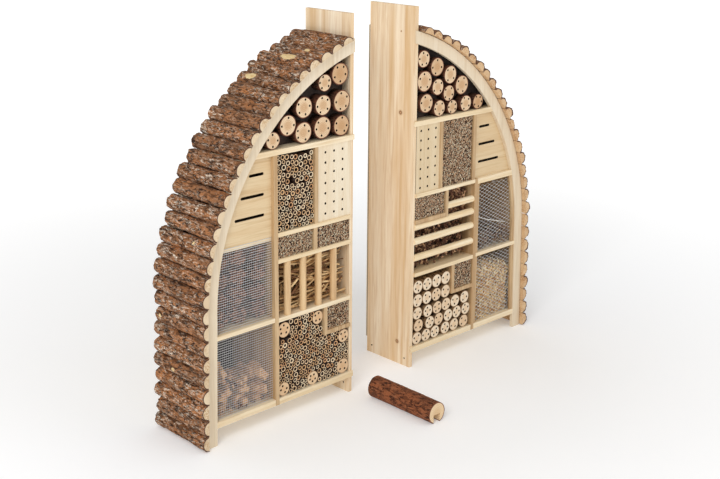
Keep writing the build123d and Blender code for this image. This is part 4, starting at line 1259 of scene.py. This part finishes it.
chunk_wood = mottled_finish("chunk_wood", tint(212, 168, 122), tint(178, 132, 92),
                            tint(92, 58, 38), 150.0)
PER_CHUNK = 7              # pieces split from each chunk
SETTLED = (1, 1.2, 1.3)    # over 1, the pieces lie nearer the chunk's lowest corner
chance = random.Random(51)
blocks = []
for solid in separate_solids("left_wood_chunks"):
    low, high = extent(solid)
    size = high - low
    for _ in range(PER_CHUNK):
        piece_size = size * [chance.uniform(0.2, 0.46) for _ in range(3)]
        corner = low + (size - piece_size) * [chance.random() ** power for power in SETTLED]
        turn, taper = chance.uniform(-0.6, 0.6), chance.uniform(0.1, 0.6)
        blocks.append((corner, corner + piece_size, turn, taper))
chunks = rough_heap("left_chunks", blocks, chunk_wood, 9 * MM, 4 * MM, 3)
hang(chunks, "left_half", "split_wood", "left_wood_chunks")
low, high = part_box("left_wood_chunks")
SPLINTER_EDGE = 12 * MM
SPLINTERS_PER_REGION = 70
SPLINTER_SIZES = (4, 11)
at_foot = (low + Vector((SPLINTER_EDGE, 0, 2 * MM)),
           (high.x - SPLINTER_EDGE, low.y + 34 * MM, low.z + 16 * MM))
on_heap = (low + Vector((SPLINTER_EDGE, 2 * MM, 52 * MM)), low + Vector((66, 30, 84)) * MM)
chips("left_chunk_splinters", "left_half", "split_wood", "left_wood_chunks", [at_foot, on_heap],
      SPLINTERS_PER_REGION, SPLINTER_SIZES, chunk_wood, 53)


# ---- Twig pile and peeled stick -----------------------------------------------------------
# A low pile of thin twigs lies behind the right half's upper mesh, and one white peeled
# stick leans on it.
thin_bark = mottled_finish("thin_twig_bark", tint(150, 124, 104), tint(112, 86, 70), tint(70, 52, 42))
thin_twig = twig_shape("thin_twig", 2.2)
pile_box, stick_box = sorted(separate_solids("right_twigs"), key=lambda s: s[:, 2].min())
low, high = extent(pile_box)
PILE_TWIGS = 330
PILE_EDGE = 24 * MM        # half a twig's length, so that none leaves the bay
PILE_DEEP = 60 * MM
chance = random.Random(57)
places = scatter_in([((low[0] + PILE_EDGE, low[1], low[2] + 3 * MM),
                      (high[0] - PILE_EDGE, low[1] + PILE_DEEP, high[2] - 2 * MM))],
                    PILE_TWIGS, chance)
turns = [(chance.uniform(0, ANY_TURN), chance.gauss(0, 0.5), chance.gauss(0, 0.7))
         for _ in places]
sizes = [(chance.uniform(26, 48) * MM, *(2 * (chance.uniform(0.8, 1.6) * MM,)))
         for _ in places]
pile = lay("right_twig_pile", thin_twig, places, turns, sizes, thin_bark, twig_cut, 57)
hang(pile, "right_half", "twig", "right_twigs")

peeled_wood, tree, shader, place = new_finish("peeled_stick_wood", 0.5)
grain = cloud(tree, stretched(tree, place, (0.2, 1, 1)), 400.0)
paint(tree, shader, blended(tree, grain, tint(252, 250, 244), tint(238, 230, 214)))
STICK_R = 1.9 * MM
low, high = extent(stick_box)
start = Vector((low[0], high[1], high[2])) + Vector((2, -2, -2)) * MM
end = Vector((high[0], low[1], low[2])) + Vector((-2, 2, 2)) * MM
way = end - start
turn = way.to_track_quat("X", "Z").to_euler()
stick = lay("right_peeled_stick", thin_twig, [(start + end) / 2], [tuple(turn)],
            [(way.length, STICK_R, STICK_R)], peeled_wood, seed=59)
bpy.data.objects.remove(thin_twig)
hang(stick, "right_half", "twig", "right_twigs")


# ---- Straw and shavings -------------------------------------------------------------------
# Golden straw and curled shavings behind the right half's lower mesh, higher in the middle, in
# front of a rough packed core in darker straw colours, as painted shade.
def shaving_shape():
    """A curled strip one unit long along X, thin, and about a fifth as wide."""
    points, faces = [], []
    stations = 5
    half_width, thickness, curl = 0.09, 0.03, 0.22
    for step in range(stations):
        share = step / (stations - 1)
        lift = curl * math.sin(math.pi * share)
        for across in (-half_width, half_width):
            points += [(share - 0.5, across, lift), (share - 0.5, across, lift + thickness)]
    for step in range(stations - 1):
        a, b = step * 4, step * 4 + 4
        faces += [(a, a + 2, b + 2, b), (a + 1, b + 1, b + 3, a + 3), (a, b, b + 1, a + 1),
                  (a + 2, a + 3, b + 3, b + 2)]
    faces += [(0, 1, 3, 2), (b, b + 2, b + 3, b + 1)]
    return shape_object("shaving", points, faces, smooth=False)


shaving_wood = mottled_finish("shaving_wood", tint(255, 240, 200), tint(250, 214, 150),
                              tint(190, 140, 84), 300.0)
SHAVINGS = 2600
CREST_SINK = 16            # millimetres by which the top of the heap varies
CREST_SKIN = 14 * MM       # the top layer, which runs back to the rear of the bay
shaving = shaving_shape()
chance = random.Random(61)
low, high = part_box("right_straw")
places = []
for _ in range(SHAVINGS):
    x = chance.uniform(low.x + 6 * MM, high.x - 8 * MM)
    share = (x - low.x) / (high.x - low.x)
    swell = math.sin(math.pi * (share * 0.9 + 0.2))
    crest = low.z + (high.z - low.z) * (0.90 + 0.10 * swell)
    crest -= chance.uniform(0, CREST_SINK) * MM
    z = chance.uniform(low.z + 4 * MM, crest)
    if z < crest - CREST_SKIN:
        y = low.y + chance.uniform(3, 20) * MM
    else:
        y = chance.uniform(low.y, high.y - 9 * MM)
    places.append((x, y, z))
turns = [tuple(chance.uniform(-math.pi, math.pi) for _ in range(3)) for _ in places]
sizes = [(s, s, s) for s in (chance.uniform(9, 19) * MM for _ in places)]
fill = lay("right_shavings", shaving, places, turns, sizes, shaving_wood, None, 61)
bpy.data.objects.remove(shaving)
hang(fill, "right_half", "straw", "right_straw")
# Painted shade: the core is a darker copy of the straw colours.
straw_shade = mottled_finish("straw_shade", tint(150, 112, 68), tint(120, 86, 50),
                             tint(84, 58, 34), 120.0)
core_block = (low + Vector((1, 14, 1)) * MM, high - Vector((1, 4, 26)) * MM, 0, 0)
core = rough_heap("right_straw_core", [core_block], straw_shade, 8 * MM, 3 * MM, 5)
hang(core, "right_half", "straw", "right_straw")


# ---- Wire mesh ----------------------------------------------------------------------------
# Galvanised mesh stapled behind the arch leg: welded square mesh in the left half, and mesh
# with wide leaning strands in the right half.
def wire_tree():
    """Gives every edge the section of a round wire."""
    tree, given, out = node_tree("drawn_wire", {
        "Wire Radius": float, "Sides": int, "Material": bpy.types.Material})
    curves = put(tree, "GeometryNodeMeshToCurve", {"Mesh": given.outputs["Mesh"]})
    ring = put(tree, "GeometryNodeCurvePrimitiveCircle", {
        "Resolution": given.outputs["Sides"], "Radius": given.outputs["Wire Radius"]})
    wires = put(tree, "GeometryNodeCurveToMesh", {
        "Curve": curves.outputs["Curve"], "Profile Curve": ring.outputs["Curve"], "Fill Caps": True})
    return finish_tree(tree, given, out, wires.outputs["Mesh"])


drawn_wire = wire_tree()
galvanised, tree, shader, place = new_finish("galvanised_wire", 0.45)
shader.inputs["Metallic"].default_value = 0.25
spangle = cloud(tree, place, 700.0, 3.0)
colour = blended(tree, spangle, tint(240, 240, 238), tint(196, 198, 200))
paint(tree, shader, colour, spangle, 0.3, 0.0002)


def wires(name, half, lines, radius, sides):
    """Wires of one half's mesh along lines of points, as one piece."""
    points, edges = [], []
    for line in lines:
        edges += [(len(points) + step, len(points) + step + 1) for step in range(len(line) - 1)]
        points += line
    mesh = bpy.data.meshes.new(name + "_lines")
    mesh.from_pydata(points, edges, [])
    piece = run_tree(drawn_wire, name, mesh, {
        "Wire Radius": radius, "Sides": sides, "Material": galvanised})
    hang(piece, f"{half}_half", "galvanised_wire", f"{half}_wire_mesh")


MESH_REACH = 157 * MM        # from the main divider to under the arch leg
MESH_EDGE = 1.5 * MM         # from a sheet's edge to its first wire
WIRE_END = 0.5 * MM          # what a sheet's edge leaves free of its wires' ends
SQUARE_PITCH = 5.5 * MM
SQUARE_WIRE = 0.52 * MM      # the level wires
UPRIGHT_WIRE = 0.2 * MM
level, upright = [], []
for sheet in separate_solids("left_wire_mesh"):
    low, high = extent(sheet)
    depth = low[1] + SQUARE_WIRE
    left_edge = high[0] - MESH_REACH
    count = int(MESH_REACH / SQUARE_PITCH)
    rows = int((high[2] - low[2]) / SQUARE_PITCH)
    for step in range(count + 1):
        x = high[0] - MESH_EDGE - step * SQUARE_PITCH
        upright.append([(x, depth, low[2] + WIRE_END), (x, depth, high[2] - WIRE_END)])
    for step in range(rows + 1):
        z = low[2] + MESH_EDGE + step * (high[2] - low[2] - 2 * MESH_EDGE) / rows
        level.append([(left_edge - 1 * MM, depth, z), (high[0] - WIRE_END, depth, z)])
wires("left_square_mesh", "left", level, SQUARE_WIRE, 6)
wires("left_upright_wires", "left", upright, UPRIGHT_WIRE, 5)

STRAND_PITCH = 19 * MM
STRAND_RISE = 4.9 * MM
STRAND_WIRE = 0.5 * MM
STRAND_SHAPE = ((0.0, 0.08), (0.06, 0.08), (0.44, 0.92), (0.56, 0.92), (0.94, 0.08))
lines = []
for sheet in separate_solids("right_wire_mesh"):
    low, high = extent(sheet)
    cells = int(MESH_REACH / STRAND_PITCH)
    depth = low[1] + STRAND_WIRE * 1.2
    z = low[2] + STRAND_RISE
    while z < high[2] - STRAND_RISE:
        for flip in (1, -1):
            line = []
            for cell in range(cells):
                for share, lift in STRAND_SHAPE:
                    line.append((low[0] + 1 * MM + (cell + share) * STRAND_PITCH, depth,
                                 z + flip * lift * STRAND_RISE))
            lines.append(line)
        z += 2 * STRAND_RISE
wires("right_strand_mesh", "right", lines, STRAND_WIRE, 4)


# ---- Ridge log ----------------------------------------------------------------------------
# A length of pine with smooth red-brown bark, sawn square at both ends and grooved along its
# underside to sit over the two spine boards.
log_bark = bark_finish("log_bark", tint(64, 34, 22), tint(132, 80, 54), tint(158, 94, 60),
                       tint(184, 134, 100), 0.3)
low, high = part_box("ridge_log")
GROOVE_TOP = 20 * MM
LOG_AROUND = 56
LOG_ALONG = 110
LOG_R = (high.x - low.x) / 2
LOG_AXIS = high.z - LOG_R    # the height of the log's heart
log_x = (high.x + low.x) / 2
half_groove = math.sqrt(LOG_R ** 2 - LOG_AXIS ** 2)
start_angle = math.atan2(-LOG_AXIS, half_groove)
sweep = 2 * math.pi - 2 * math.asin(half_groove / LOG_R)
section, flags = [], []
for step in range(LOG_AROUND + 1):
    angle = start_angle + sweep * step / LOG_AROUND
    section.append((log_x + LOG_R * math.cos(angle), LOG_AXIS + LOG_R * math.sin(angle)))
    flags.append(1 if 0 < step < LOG_AROUND else 0)
section += [(log_x - half_groove, GROOVE_TOP), (log_x + half_groove, GROOVE_TOP)]
flags += [0, 0]
stations = [low.y + (high.y - low.y) * step / LOG_ALONG for step in range(LOG_ALONG + 1)]
smooth_log = drawn_solid("smooth_log", section, flags, stations)
ends_wood = slice_finish("log_end_wood", tint(236, 208, 168), tint(206, 168, 120), tint(214, 176, 128),
                         tint(120, 66, 42))
log = run_tree(bark_relief, "grooved_log", smooth_log.data, {
    "Ridge Height": 0.45 * MM, "Ridge Scale": 38.0, "Flake Height": 0.25 * MM, "Flake Scale": 200.0,
    "Material": log_bark, "Sawn Material": ends_wood})
bpy.data.objects.remove(smooth_log)
held = log.data.attributes.new("from_heart", "FLOAT_VECTOR", "POINT")
held.data.foreach_set("vector", [value for v in log.data.vertices for value in (
    (v.co.x - log_x) / LOG_R, 0.0, (v.co.z - LOG_AXIS) / LOG_R)])
hang(log, "ridge_log", "bark", "ridge_log")
